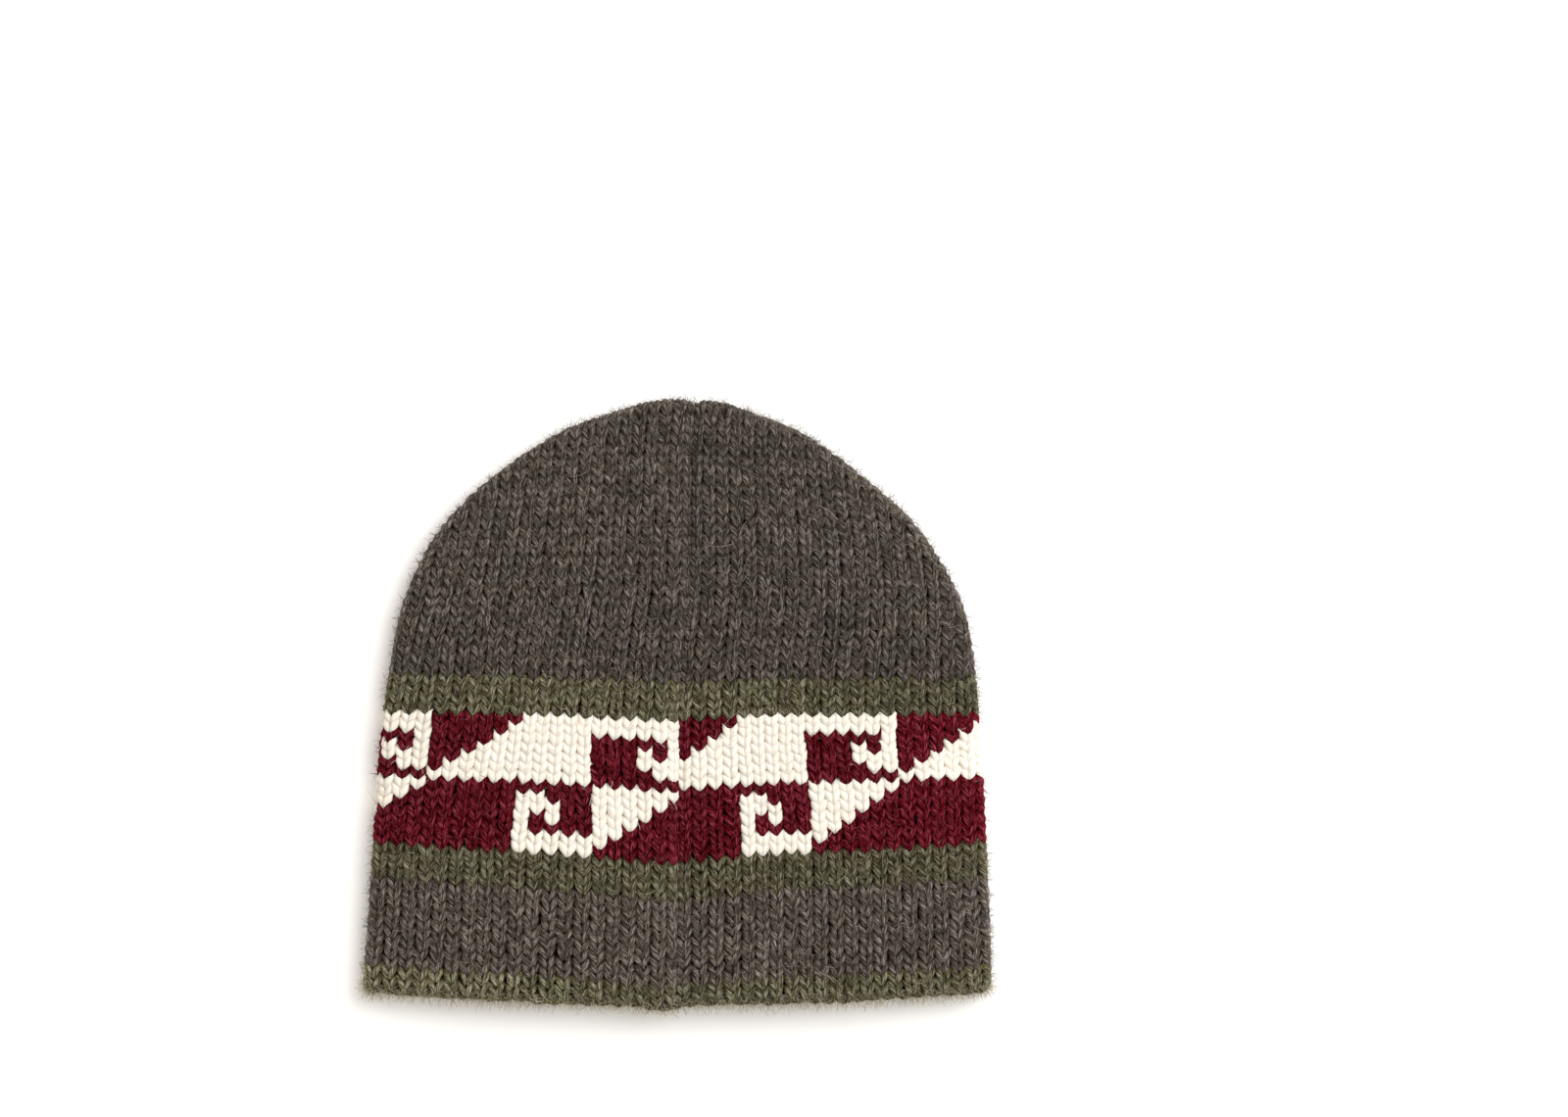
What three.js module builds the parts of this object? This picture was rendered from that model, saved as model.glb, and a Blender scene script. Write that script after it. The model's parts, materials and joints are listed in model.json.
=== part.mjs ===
import * as THREE from 'three';
import { mergeVertices } from 'three/addons/utils/BufferGeometryUtils.js';

// Knitted beanie cap lying flat, in millimetres.
// +X is to the right as the cap lies, +Y points from the open hem to the crown, and +Z is up.
// The cap is one piece of knitting, so it is one hollow solid: a wall folded flat along both
// sides, open at the hem, with the back seam as a shallow valley down the upper layer.

// Driving dimensions
const WALL = 4.6;                  // thickness of the knitted wall
const FOLD_RADIUS = 6.5;           // outer radius where the cap folds at its sides and crown
const HEM_CENTRE_Y = -115.2;       // lowest point of the hem, at the middle
const CROWN_TOP_Y = 115.2;         // highest point of the crown
const HEM_RISE = 5.6;              // how much higher the hem lies at the sides than at the middle
const HEM_CORNER_RISE = 3.4;       // further rise where the hem turns round the side folds
const HEM_CORNER_START = 0.93;     // share of the half width where that turn begins
const UNDER_HEM_PEEK = 1.0;        // how far the lower layer's hem shows past the upper one, at the left
const SEAM_DEPTH = 1.5;            // depth of the valley along the back seam
const SEAM_HALF_WIDTH = 3.2;       // half width of that valley
const CROWN_NOTCH_DEPTH = 1.5;     // notch in the crown's edge where the seam crosses it
const CROWN_NOTCH_HALF_WIDTH = 4;
const LOFT_SPREAD = 26;            // distance from the fold over which the upper layer rises

// The cap's outline as it lies, a row for each height above or below the middle:
// the left fold, the right fold, the back seam, and how far the upper layer is lofted.
const SECTIONS = [
  { y: -120.0, left: -119.4, right: 119.2, seam: -0.6, loft: 3.0 },
  { y: -106.0, left: -119.0, right: 119.0, seam: -0.4, loft: 4.0 },
  { y: -82.0, left: -117.4, right: 118.4, seam: 0.2, loft: 6.6 },
  { y: -52.4, left: -115.4, right: 117.1, seam: 0.6, loft: 9.2 },
  { y: -27.6, left: -113.8, right: 115.9, seam: 0.8, loft: 10.6 },
  { y: -2.6, left: -111.6, right: 114.3, seam: 1.2, loft: 11.2 },
  { y: 18.6, left: -108.2, right: 112.3, seam: 2.2, loft: 11.2 },
  { y: 31.2, left: -106.0, right: 110.2, seam: 3.6, loft: 11.0 },
  { y: 43.4, left: -102.4, right: 106.0, seam: 4.8, loft: 10.6 },
  { y: 53.2, left: -97.9, right: 100.3, seam: 5.2, loft: 10.0 },
  { y: 65.3, left: -91.4, right: 92.8, seam: 5.4, loft: 9.2 },
  { y: 74.1, left: -83.4, right: 84.7, seam: 5.3, loft: 8.3 },
  { y: 84.5, left: -72.1, right: 72.2, seam: 5.3, loft: 7.0 },
  { y: 94.1, left: -59.2, right: 60.5, seam: 5.4, loft: 5.4 },
  { y: 102.6, left: -45.4, right: 47.4, seam: 5.9, loft: 3.8 },
  { y: 107.1, left: -35.6, right: 37.8, seam: 6.3, loft: 2.8 },
  { y: 112.3, left: -18.2, right: 22.8, seam: 6.8, loft: 1.4 },
];
const CROWN_TIP = { x: 4.4, seam: 6.9, loft: 0.4 };

// How finely the surfaces are divided
const SIDE_ROWS = 17;              // rows from the hem to where the crown starts to close
const CROWN_ROWS = 13;             // rows from there to the tip
const CROWN_START_Y = 70;
const FOLD_STEPS = 7;              // steps round each side fold
const PANEL_STEPS = 8;             // steps across each half of the upper layer
const UNDER_STEPS = 10;            // steps across the lower layer
const SEAM_STEPS = [-2.2, -1.1, 0, 1.1, 2.2];   // across the valley, in half widths
const LIP_STEPS = 3;               // steps round the hem's rounded edge

const smoothstep = (from, to, value) => {
  const t = THREE.MathUtils.clamp((value - from) / (to - from), 0, 1);
  return t * t * (3 - 2 * t);
};

// A smooth curve through one column of the table, with no overshoot between rows
function column(name, tip) {
  const rows = SECTIONS.map((row) => ({ y: row.y, value: row[name] }));
  if (tip !== undefined) rows.push({ y: CROWN_TOP_Y, value: tip });
  const slopes = rows.slice(1).map((row, i) => (row.value - rows[i].value) / (row.y - rows[i].y));
  const tangents = rows.map((row, i) => {
    const before = slopes[Math.max(i - 1, 0)];
    const after = slopes[Math.min(i, slopes.length - 1)];
    return before * after <= 0 ? 0 : (2 * before * after) / (before + after);
  });
  return (y) => {
    let i = 0;
    while (i < rows.length - 2 && y > rows[i + 1].y) i += 1;
    const span = rows[i + 1].y - rows[i].y;
    const t = THREE.MathUtils.clamp((y - rows[i].y) / span, 0, 1);
    const [h0, h1] = [(1 + 2 * t) * (1 - t) ** 2, t * t * (3 - 2 * t)];
    const [g0, g1] = [t * (1 - t) ** 2, t * t * (t - 1)];
    return h0 * rows[i].value + h1 * rows[i + 1].value + span * (g0 * tangents[i] + g1 * tangents[i + 1]);
  };
}

const leftColumn = column('left');
const rightColumn = column('right');
const seamX = column('seam', CROWN_TIP.seam);
const loft = column('loft', CROWN_TIP.loft);

// Above the last table row the outline closes round the crown's tip as half an ellipse
const LAST = SECTIONS[SECTIONS.length - 1];
function edgeX(side, y) {
  const edge = side < 0 ? leftColumn : rightColumn;
  if (y <= LAST.y) return edge(y);
  const t = THREE.MathUtils.clamp((y - LAST.y) / (CROWN_TOP_Y - LAST.y), 0, 1);
  return CROWN_TIP.x + (edge(LAST.y) - CROWN_TIP.x) * Math.sqrt(1 - t * t);
}

// The fold line all round the cap, used to measure distances from it
const OUTLINE_STEP = 1.5;
function outlinePoints() {
  const points = [];
  for (const side of [-1, 1]) {
    const arm = [];
    for (let y = -135; y < LAST.y; y += OUTLINE_STEP) {
      arm.push([edgeX(side, Math.max(y, SECTIONS[0].y)), y]);
    }
    const tipSteps = 12;
    for (let i = 0; i <= tipSteps; i += 1) {
      const y = LAST.y + (CROWN_TOP_Y - LAST.y) * Math.sin((i / tipSteps) * (Math.PI / 2));
      arm.push([edgeX(side, y), y]);
    }
    points.push(...(side < 0 ? arm : arm.reverse()));
  }
  return points;
}
const OUTLINE = outlinePoints();

function distanceToFold(x, y) {
  let best = Infinity;
  for (let i = 1; i < OUTLINE.length; i += 1) {
    const [ax, ay] = OUTLINE[i - 1];
    const [bx, by] = [OUTLINE[i][0] - ax, OUTLINE[i][1] - ay];
    const length2 = bx * bx + by * by;
    if (length2 < 1e-9) continue;
    const t = THREE.MathUtils.clamp(((x - ax) * bx + (y - ay) * by) / length2, 0, 1);
    best = Math.min(best, Math.hypot(x - ax - t * bx, y - ay - t * by));
  }
  return best;
}

// Where a row at height y reaches the wanted distance from the fold, searching from one side
function inset(side, y, distance, middle) {
  let outside = edgeX(side, y);
  let inside = middle;
  if (distanceToFold(inside, y) <= distance) return inside;
  for (let i = 0; i < 24; i += 1) {
    const x = (outside + inside) / 2;
    if (distanceToFold(x, y) < distance) outside = x;
    else inside = x;
  }
  return (outside + inside) / 2;
}

// Height of a surface of the cap. depth is 0 on the outside and WALL on the inside.
function height(x, y, upper, depth) {
  const distance = distanceToFold(x, y);
  const radius = FOLD_RADIUS - depth;
  const reach = THREE.MathUtils.clamp((FOLD_RADIUS - distance) / radius, 0, 1);
  const round = radius * Math.sqrt(Math.max(0, 1 - reach * reach));
  if (!upper) return FOLD_RADIUS - round;
  const rise = loft(y) * (1 - Math.exp(-((distance / LOFT_SPREAD) ** 1.6)));
  const across = (x - seamX(y)) / SEAM_HALF_WIDTH;
  const valley = SEAM_DEPTH * Math.exp(-across * across) * smoothstep(0, 2 * FOLD_RADIUS, distance);
  return FOLD_RADIUS + round + rise - valley;
}

// One closed ring of points round the cap at row height y, starting at the left fold
function ring(y, hem, depth) {
  const middle = THREE.MathUtils.lerp(edgeX(-1, y), edgeX(1, y), 0.5);
  const insideMiddle = y > LAST.y ? CROWN_TIP.x : middle;
  const edges = [-1, 1].map((side) => inset(side, y, depth, insideMiddle));
  const turns = [-1, 1].map((side) => inset(side, y, FOLD_RADIUS, insideMiddle));
  const stations = [];
  const fold = (side, from, to, upper) => {
    const k = side < 0 ? 0 : 1;
    for (let i = from; i !== to; i += Math.sign(to - from)) {
      const angle = (i / FOLD_STEPS) * (Math.PI / 2);
      stations.push({ x: turns[k] + (edges[k] - turns[k]) * Math.cos(angle), upper });
    }
  };
  const panel = (from, to, steps, upper) => {
    for (let i = 0; i <= steps; i += 1) {
      stations.push({ x: THREE.MathUtils.lerp(from, to, i / steps), upper });
    }
  };
  const room = Math.min(turns[1] - seamX(y), seamX(y) - turns[0]);
  const spread = Math.max(0, Math.min(SEAM_HALF_WIDTH, room / (SEAM_STEPS.length)));
  const seam = THREE.MathUtils.clamp(seamX(y), turns[0] + 3 * spread, turns[1] - 3 * spread);
  fold(-1, 0, FOLD_STEPS, true);
  panel(turns[0], seam + SEAM_STEPS[0] * spread, PANEL_STEPS, true);
  SEAM_STEPS.slice(1, -1).forEach((step) => stations.push({ x: seam + step * spread, upper: true }));
  panel(seam + SEAM_STEPS[SEAM_STEPS.length - 1] * spread, turns[1], PANEL_STEPS, true);
  fold(1, FOLD_STEPS - 1, -1, true);
  fold(1, 1, FOLD_STEPS, false);
  panel(turns[1], turns[0], UNDER_STEPS, false);
  fold(-1, FOLD_STEPS - 1, 0, false);
  return stations.map(({ x, upper }) => {
    const z = height(x, y, upper, depth);
    return new THREE.Vector3(x, y + hemShift(x, y, upper, hem) - notchShift(x, y), z);
  });
}

// The hem isn't straight: it sags in the middle and turns up at the side folds
function hemShift(x, y, upper, hem) {
  const half = (edgeX(1, y) - edgeX(-1, y)) / 2;
  const across = (x - edgeX(-1, y)) / half - 1;
  const corner = Math.max(0, (Math.abs(across) - HEM_CORNER_START) / (1 - HEM_CORNER_START));
  const rise = HEM_RISE * (across * across - 1) + HEM_CORNER_RISE * (corner * corner - 1);
  const peek = upper ? 0 : UNDER_HEM_PEEK * smoothstep(0.25, -0.75, across);
  return hem * (rise - peek);
}

// The seam draws a notch into the crown's edge
function notchShift(x, y) {
  const across = (x - CROWN_TIP.seam) / CROWN_NOTCH_HALF_WIDTH;
  return CROWN_NOTCH_DEPTH * Math.exp(-across * across) * smoothstep(100, CROWN_TOP_Y, y);
}

// Row heights at the side folds from the hem to just short of the tip, closer together at the crown
function rowHeights(depth) {
  const hemY = HEM_CENTRE_Y + WALL / 2 + HEM_RISE + HEM_CORNER_RISE;
  const top = CROWN_TOP_Y - depth;
  const rows = [];
  for (let i = 0; i < SIDE_ROWS; i += 1) {
    rows.push({ y: THREE.MathUtils.lerp(hemY, CROWN_START_Y, i / SIDE_ROWS), hem: (1 - i / SIDE_ROWS) ** 2 });
  }
  for (let i = 0; i < CROWN_ROWS; i += 1) {
    const closing = Math.sin((i / CROWN_ROWS) * (Math.PI / 2));
    rows.push({ y: THREE.MathUtils.lerp(CROWN_START_Y, top, closing), hem: 0 });
  }
  return rows;
}

// The rounded edge of the hem, from the outer ring to the inner one
function lipRings(outer, inner) {
  const rings = [];
  for (let i = 1; i <= LIP_STEPS; i += 1) {
    const angle = (i / (LIP_STEPS + 1)) * Math.PI;
    rings.push(outer.map((point, k) => {
      const before = outer[(k + outer.length - 1) % outer.length];
      const after = outer[(k + 1) % outer.length];
      const middle = point.clone().add(inner[k]).multiplyScalar(0.5);
      const half = point.clone().sub(middle);
      const along = after.clone().sub(before).normalize();
      const outward = new THREE.Vector3().crossVectors(along, half).normalize();
      if (outward.y > 0) outward.negate();
      return middle.addScaledVector(half, Math.cos(angle))
        .addScaledVector(outward, Math.sin(angle) * half.length());
    }));
  }
  return rings;
}

// Joins rings of equal length into one closed skin, capped by a point at each end
function skin(rings, startPoint, endPoint) {
  const count = rings[0].length;
  const positions = rings.flat().concat([startPoint, endPoint]).flatMap((p) => [p.x, p.y, p.z]);
  const start = rings.length * count;
  const faces = [];
  for (let k = 0; k < count; k += 1) {
    const next = (k + 1) % count;
    faces.push(start, k, next);
    for (let r = 0; r < rings.length - 1; r += 1) {
      const [a, b] = [r * count + k, r * count + next];
      faces.push(a, a + count, b, b, a + count, b + count);
    }
    const last = (rings.length - 1) * count;
    faces.push(last + k, start + 1, last + next);
  }
  const geometry = new THREE.BufferGeometry();
  geometry.setAttribute('position', new THREE.Float32BufferAttribute(positions, 3));
  geometry.setIndex(faces);
  return mergeVertices(geometry, 1e-4);
}

// The whole cap: outer surface from the crown's tip down to the hem, round the lip, and back up
// inside. The origin is under the middle of the cap, on the surface that it lies on.
function knittedCapGeometry() {
  const outer = rowHeights(0).map((row) => ring(row.y, row.hem, 0));
  const inner = rowHeights(WALL).map((row) => ring(row.y, row.hem, WALL));
  const tip = (depth) => {
    const y = CROWN_TOP_Y - depth;
    return new THREE.Vector3(CROWN_TIP.x, y - notchShift(CROWN_TIP.x, y), FOLD_RADIUS);
  };
  const rings = [...outer.reverse(), ...lipRings(outer[outer.length - 1], inner[0]), ...inner];
  const geometry = skin(rings, tip(0), tip(WALL));
  geometry.computeBoundingBox();
  const { min, max } = geometry.boundingBox;
  geometry.translate(-(min.x + max.x) / 2, -(min.y + max.y) / 2, -min.z);
  geometry.computeVertexNormals();
  return geometry;
}

const wool = new THREE.MeshStandardMaterial({ color: 0x4d463f, roughness: 1, metalness: 0 });
const cap = new THREE.Mesh(knittedCapGeometry(), wool);
cap.name = 'knitted_cap';

const beanie = new THREE.Group();
beanie.add(cap);

export default beanie;
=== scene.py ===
"""A knitted beanie cap: every stitch is a loop of yarn, laid on the shell of the CAD model."""

import functools
import json
import math

import bmesh
import bpy
import numpy as np
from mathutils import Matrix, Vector
from mathutils.bvhtree import BVHTree

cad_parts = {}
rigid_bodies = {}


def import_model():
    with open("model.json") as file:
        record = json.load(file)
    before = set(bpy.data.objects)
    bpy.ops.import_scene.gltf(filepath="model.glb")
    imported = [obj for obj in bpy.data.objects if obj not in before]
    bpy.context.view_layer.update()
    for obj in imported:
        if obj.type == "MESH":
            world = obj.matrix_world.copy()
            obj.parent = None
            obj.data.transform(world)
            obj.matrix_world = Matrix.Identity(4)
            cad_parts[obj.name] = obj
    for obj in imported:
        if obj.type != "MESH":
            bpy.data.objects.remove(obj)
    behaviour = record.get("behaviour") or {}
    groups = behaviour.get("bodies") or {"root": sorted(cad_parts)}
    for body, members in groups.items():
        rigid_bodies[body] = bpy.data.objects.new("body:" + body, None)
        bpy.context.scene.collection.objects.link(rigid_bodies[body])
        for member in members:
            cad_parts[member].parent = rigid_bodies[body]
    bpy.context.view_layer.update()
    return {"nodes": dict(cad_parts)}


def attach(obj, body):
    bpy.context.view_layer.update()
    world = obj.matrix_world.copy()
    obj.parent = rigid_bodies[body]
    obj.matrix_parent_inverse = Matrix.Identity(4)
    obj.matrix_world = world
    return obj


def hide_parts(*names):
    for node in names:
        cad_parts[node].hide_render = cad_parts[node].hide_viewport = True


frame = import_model()

bl_info = {
    "name": "Knitted beanie cap",
    "version": (1, 0, 0),
    "blender": (4, 5, 0),
    "location": "View3D > Sidebar > Beanie",
    "description": "Knits a beanie cap stitch by stitch on the frame of its CAD model",
    "category": "Object",
}

NODE = "knitted_cap"
BODY = "root"
MM = 0.001                 # the cap's plan and its sizes are in millimetres
SEED = 11

# The shell of the CAD model
WALL = 4.6
FOLD_RADIUS = 6.5
MIDDLE_RADIUS = FOLD_RADIUS - WALL / 2
QUARTER_FOLD = MIDDLE_RADIUS * math.pi / 2
FLOOR_CLEARANCE = 1.15     # lifts the lower layer's yarn off the floor
ROOF_STEP = 1.5            # step and reach of the grid that the upper layer's height is kept on
ROOF_REACH = 126.0

# The knitting from the hem up. For each section: how many rows, and where its upper edge runs, as
# heights from the cap's middle: in the middle, at the left fold and at the right fold. Near the
# seam the rows droop, by seam_left on its left side and seam_right on its right side. The shades
# are how much lighter or darker the wool is drawn there, at the left fold, in the middle and at the right.
# The first line is the foot of the hem.
SECTION_SIZES = ("name", "rows", "middle", "left", "right", "seam_left", "seam_right", "shades")
HEM_FOOT, *SECTIONS = [dict(zip(SECTION_SIZES, sizes)) for sizes in (
    ("foot", 0, -110.0, -105.2, -105.2, 0.3, -0.3, ()),
    ("hem", 2, -102.0, -97.5, -98.3, 3.5, 3.1, (1.66, 1.01, 1.18)),
    ("border", 9, -68.8, -64.2, -64.6, 4.1, 4.0, (1.25, 1.25, 1.08)),
    ("lower_stripe", 4, -55.1, -51.3, -51.5, 3.7, 2.6, (0.95, 0.94, 0.92)),
    ("fret_band", 14, -3.0, -2.3, -3.4, 2.3, 1.9, (1.04, 1.02, 1.09)),
    ("upper_stripe", 4, 10.5, 12.0, 9.9, 1.5, 1.3, (1.11, 1.11, 0.78)),
    ("crown", 28, 117.0, 117.0, 117.0, 0.0, 0.0, (1.04, 0.97, 0.93)),
)]
FRET_FOOT = 3              # edges of the fret band, counted from the hem's foot
FRET_TOP = 4
SEAM_DROOP_LEFT = 33.0     # how far from the seam the droop reaches on each side
SEAM_DROOP_RIGHT = 25.0
DROOP_FADE_ROWS = 10       # rows of the crown over which the droop fades
HEM_LEVEL = -106.0         # height at which the hem's width is taken
HEM_CORNER_RISE = 1.0      # the hem turns up by this much where it goes round the folds
HEM_CORNER_START = 0.95    # share of the half width where that turn begins
HEM_CORNER_ROWS = 14       # rows over which the turn fades
HEM_DIP = 1.7              # how far the hem hangs down beside the foot of the seam
HEM_DIP_PLACE = -3.5       # the middle of that dip, from the seam
HEM_DIP_WIDTH = 9.0
HEM_LIP = 3.3              # from the lowest yarn of the hem to the foot of the first row
UNDER_HEM_PEEK = 1.0       # the lower layer's hem shows this much at the left
PEEK_END = 0.25            # share of the half width, to the right, where it no longer shows
CROWN_ARCH = 3.0           # how much the crown's rows droop towards the folds
CROWN_ARCH_LATENESS = 1.6  # how late up the crown that droop comes
TOP_ARCH = 4.0             # how much more its last rows do
TOP_ARCH_LATENESS = 8

# The crown rises to a soft peak just left of the seam
PEAK_RISE = 1.0
PEAK_PLACE = 1.5
PEAK_WIDTH = 9.0

# The seam: its distance from the cap's middle line at heights up the upper layer
SEAM_HEIGHTS = (-115, -82, -28, -3, 19, 31, 43, 65, 94, 115)
SEAM_OFFSETS = (-0.6, 0.2, 0.8, 1.2, 2.2, 3.6, 4.8, 5.4, 5.4, 6.9)
SEAM_HALF_WIDTH = 1.8      # of the groove along the seam
GROOVE_HEIGHTS = (30, 52, 66, 93, 102, 116)
GROOVE_DEPTHS = (0.4, 0.6, 1.1, 1.2, 0.7, 1.8)
GROOVE_PAINTED_SHADES = (0.0, 0.08, 0.32, 0.32, 0.06, 0.10)   # how much darker the wool is painted in the groove: painted shade

# At the folds the stitches lie flatter, and the wool is painted paler: painted light where the yarn faces
# sideways and gets less light from above
FOLD_BACK_FLATTENING = 0.8
FOLD_FRONT_FLATTENING = 0.45
FOLD_PAINTED_LIGHT = 1.3
FOLD_ONSET = 1.2
CROWN_TOP_SHADE = 0.12     # how much darker the wool is at the top of the crown

# Columns of stitches, or wales. The seam takes up part of the first and the last.
WALES = 83
FIRST_WALE_SHARE = 0.9
LAST_WALE_SHARE = 0.7
ROUND = WALES - 2 + FIRST_WALE_SHARE + LAST_WALE_SHARE
USUAL_WALE = 5.5           # width of a wale, to start settling a place from
FOLD_WALE = 20.3           # about how many wales lie between the seam and a fold
CROWN_GATHER = 0.12        # how much narrower the wales are at the top of the crown
CROWN_ROW_END = 0.15       # how far up a crown row its length is taken, in rows
LEAST_STITCH = 0.4         # least width of the first stitch of a run between folds, in wales
LEAST_REST = 0.5           # and of its last one

# The columns wander a little from even spacing: by how much, in millimetres to the right, at some
# wales from the seam. The first row of numbers is for the top of the fret band, where the
# wandering starts to fade towards the crown, and the second is for its foot and all below it.
WANDER_WALES = (
    -20.0, -19.0, -16.6, -14.5, -11.4, -9.0, -5.8, 0.0, 4.1, 6.0, 8.8, 11.6, 14.5, 17.0, 20.6
)
WANDER_TOP = (-3.2, -3.0, -1.1, 0.0, 0.5, -0.7, -1.5, -0.5, 0.4, -0.8, -2.2, -1.9, -1.2, 0.4, 0.6)
WANDER_FOOT = (-3.2, -3.2, -2.8, -2.7, -2.6, -1.9, 0.0, 0.0, 1.9, 0.9, 0.4, 0.3, -0.6, -0.3, 0.0)
WANDER_TOP_HEIGHT = -11.0
WANDER_FOOT_HEIGHT = -49.0
WANDER_END_HEIGHT = 45.0

# One repeat of the stepped fret, from its top row down: # is cream on the dark red ground
FRET_CHART = (
    "......###########",
    ".....############",
    "....#######.....#",
    "...########...#.#",
    "..#########...###",
    ".##########....##",
    "###########......",
    "...........######",
    "......##...#####.",
    "......###..####..",
    "......#.#..###...",
    "......#....##....",
    "......######.....",
    "......#####......",
)
CHART_START = 2            # the chart's column at the first wale after the seam
FRET_MIDDLE_RISE = 0.55    # the upper half of the band is knitted tighter, so its middle lies higher

POINTS_PER_STITCH = 12
PLAN_STEPS = 12            # steps that settle where a place counted in wales and rows lies
PLAN_EASE = 0.4            # share of the way that each step goes

# The unevenness of hand knitting: the usual change of a loop's lean, height, share of its wale,
# sway up the cap, depth and plumpness, and how each row sways as a whole
UNEVEN = (0.15, 0.06, 0.07, 0.07, 0.08, 0.05)
ROW_SWAY = 0.07
ROW_SWAY_TURN = 1.7
FREE_FOOT = 0.95           # how far forward the first row's loops stand, whose feet no row holds
LEG_PLUMPNESS = 0.14       # how much thicker the yarn is in a loop's legs

# Yarn behind the work: the ends tucked in at the seam, and the idle yarn of the fret band
TAIL_DEPTH = 1.6
TAIL_PLUMPNESS = 0.8
FLOAT_DEPTH = 3.4
FLOAT_PLUMPNESS = 0.85
START_SPACING = 17.3       # sets the twist of each strand off from the last one's

# The cast-on edge: two strands twisted round each other along the foot of the first row
EDGE_STEPS = 6             # points of a strand to each stitch
EDGE_ROW = -0.12           # where it runs, in rows, and how far it swings up and down
EDGE_SWING = 0.26
EDGE_DEPTH = 0.6           # half of how far it swings back
EDGE_TURN = 1.7            # how far its outward way turns to the hem; the painted shade at its sides and its fibres go by it
EDGE_PLUMPNESS = 0.70
EDGE_PAINTED_LIGHT = 1.6           # how much paler it is painted: painted light on its shaded side towards the hem

# Single hairs that lie curled on the border, the hem and the crown, as points of the plan
HAIRS = (
    ((52.4, -103.6), (53.5, -105.3), (53.0, -107.4), (52.3, -109.2), (53.7, -111.0), (55.3, -112.0),
     (56.5, -113.6)),
    ((-34.2, -96.4), (-35.1, -97.6), (-34.9, -99.2), (-33.8, -100.4), (-32.6, -100.9)),
    ((-16.0, -98.6), (-17.6, -99.4), (-18.6, -101.6), (-18.9, -104.2), (-18.4, -106.6)),
    ((-24.4, 17.5), (-22.0, 15.4), (-20.6, 12.4), (-21.2, 9.6), (-23.0, 8.0)),
)
HAIR_STEPS = 5             # points of a hair between two of these
HAIR_LIFT = 2.2            # a hair lies this far above the middle of the wall
HAIR_RADIUS = 0.10
HAIR_SIDES = 4

TWIST_PITCH = 18.0         # length of one full twist of the yarn
PLIES = 3
RELIEF = 0.35              # height of the relief on the yarn, and what plies and fibres give to it
PLY_RELIEF = 0.5
FIBRE_RELIEF = 1.6
GLOW_DEPTH = 1.5           # how deep light goes into the smooth yarn
PATCH_SCALE = 130.0        # of the stretches in another tint: the larger, the finer

# A yarn's colour is a mixture of fibres in two layers, a coarse and a fine one. For each layer: how
# its fibres are drawn out along the yarn, their scale, their roughness and their strength. The
# stops are where the darkest, the usual and the lightest fibres come in the mixture.
FIBRE_LAYERS = ((0.13, 2.6, 0.7, 0.65), (0.05, 8.0, 0.6, 0.35))
FIBRE_STOPS = (0.41, 0.50, 0.62)
USUAL_FIBRE = 0.9

# How each yarn looks: its darkest and lightest fibres as shares of its own colour, the tint that
# some stretches of it take, how strongly fibres and plies show, in relief and as painted shade between
# the plies, how dark the painted shade behind the stitches in front is and where it starts and ends,
# how dark the painted shade at its sides is, the colour half way into the painted shade, how far light
# goes into it, its sheen, how much stitches differ in tone, and how much of the shade along the rows
# shows on it: the sections' lighter or darker tones, painted light at the folds and the cast-on edge,
# and painted shade in the seam's groove
HEATHER = {
    "dark": 0.28, "fibre": 1.0, "ply": 0.4, "hollow": 0.05, "behind": (-0.25, 0.9), "sides": 0.145,
    "glow": 0.0, "sheen": 0.04, "tone": 0.20, "painted_light_and_tone": 1.0,
}
WOOLS = {
    "grey": {
        **HEATHER, "light": (3.14, 3.42, 3.9), "tint": (0.99, 1.02, 0.97), "painted_shade_tint": (0.50, 0.43, 0.36),
    },
    "green": {
        **HEATHER, "light": (3.0, 3.38, 4.6), "tint": (0.94, 1.02, 0.97), "painted_shade_tint": (0.50, 0.45, 0.28),
    },
    "red": {
        **HEATHER, "dark": 0.25, "light": (2.4, 15.5, 11.0), "tint": (1.03, 1.1, 1.1), "fibre": 0.8,
        "hollow": 0.06, "sides": 0.15, "painted_shade_tint": (0.54, 0.20, 0.30), "sheen": 0.0, "tone": 0.16,
        "painted_light_and_tone": 0.8,
    },
    "cream": {
        "dark": 0.95, "light": 1.03, "tint": (1.0, 0.98, 0.96), "fibre": 0.30, "ply": 0.2,
        "hollow": 0.35, "behind": (-0.60, 0.0), "sides": 0.96, "painted_shade_tint": (0.50, 0.48, 0.45),
        "glow": 0.3, "sheen": 0.04, "tone": 0.02, "painted_light_and_tone": 0.0,
    },
}

# Loose fibres: each kind's yarn, and its darkest and lightest tones as shares of that yarn's colour
FIBRE_TONES = {
    "grey": ("grey", (1.2, 1.2, 1.2), (4.6, 4.8, 5.2)),
    "green": ("green", (1.2, 1.2, 1.3), (4.6, 4.8, 6.2)),
    "red": ("red", (0.8, 1.0, 1.0), (2.4, 22.0, 14.0)),
    "cream": ("cream", (0.95, 0.93, 0.90), (1.1, 1.1, 1.1)),
    "pale grey": ("grey", (3.0, 3.1, 3.2), (8.0, 8.5, 9.0)),
    "pale green": ("green", (3.6, 3.8, 4.4), (7.0, 7.5, 9.8)),
}
FIBRE_SHEEN = 0.05

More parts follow.
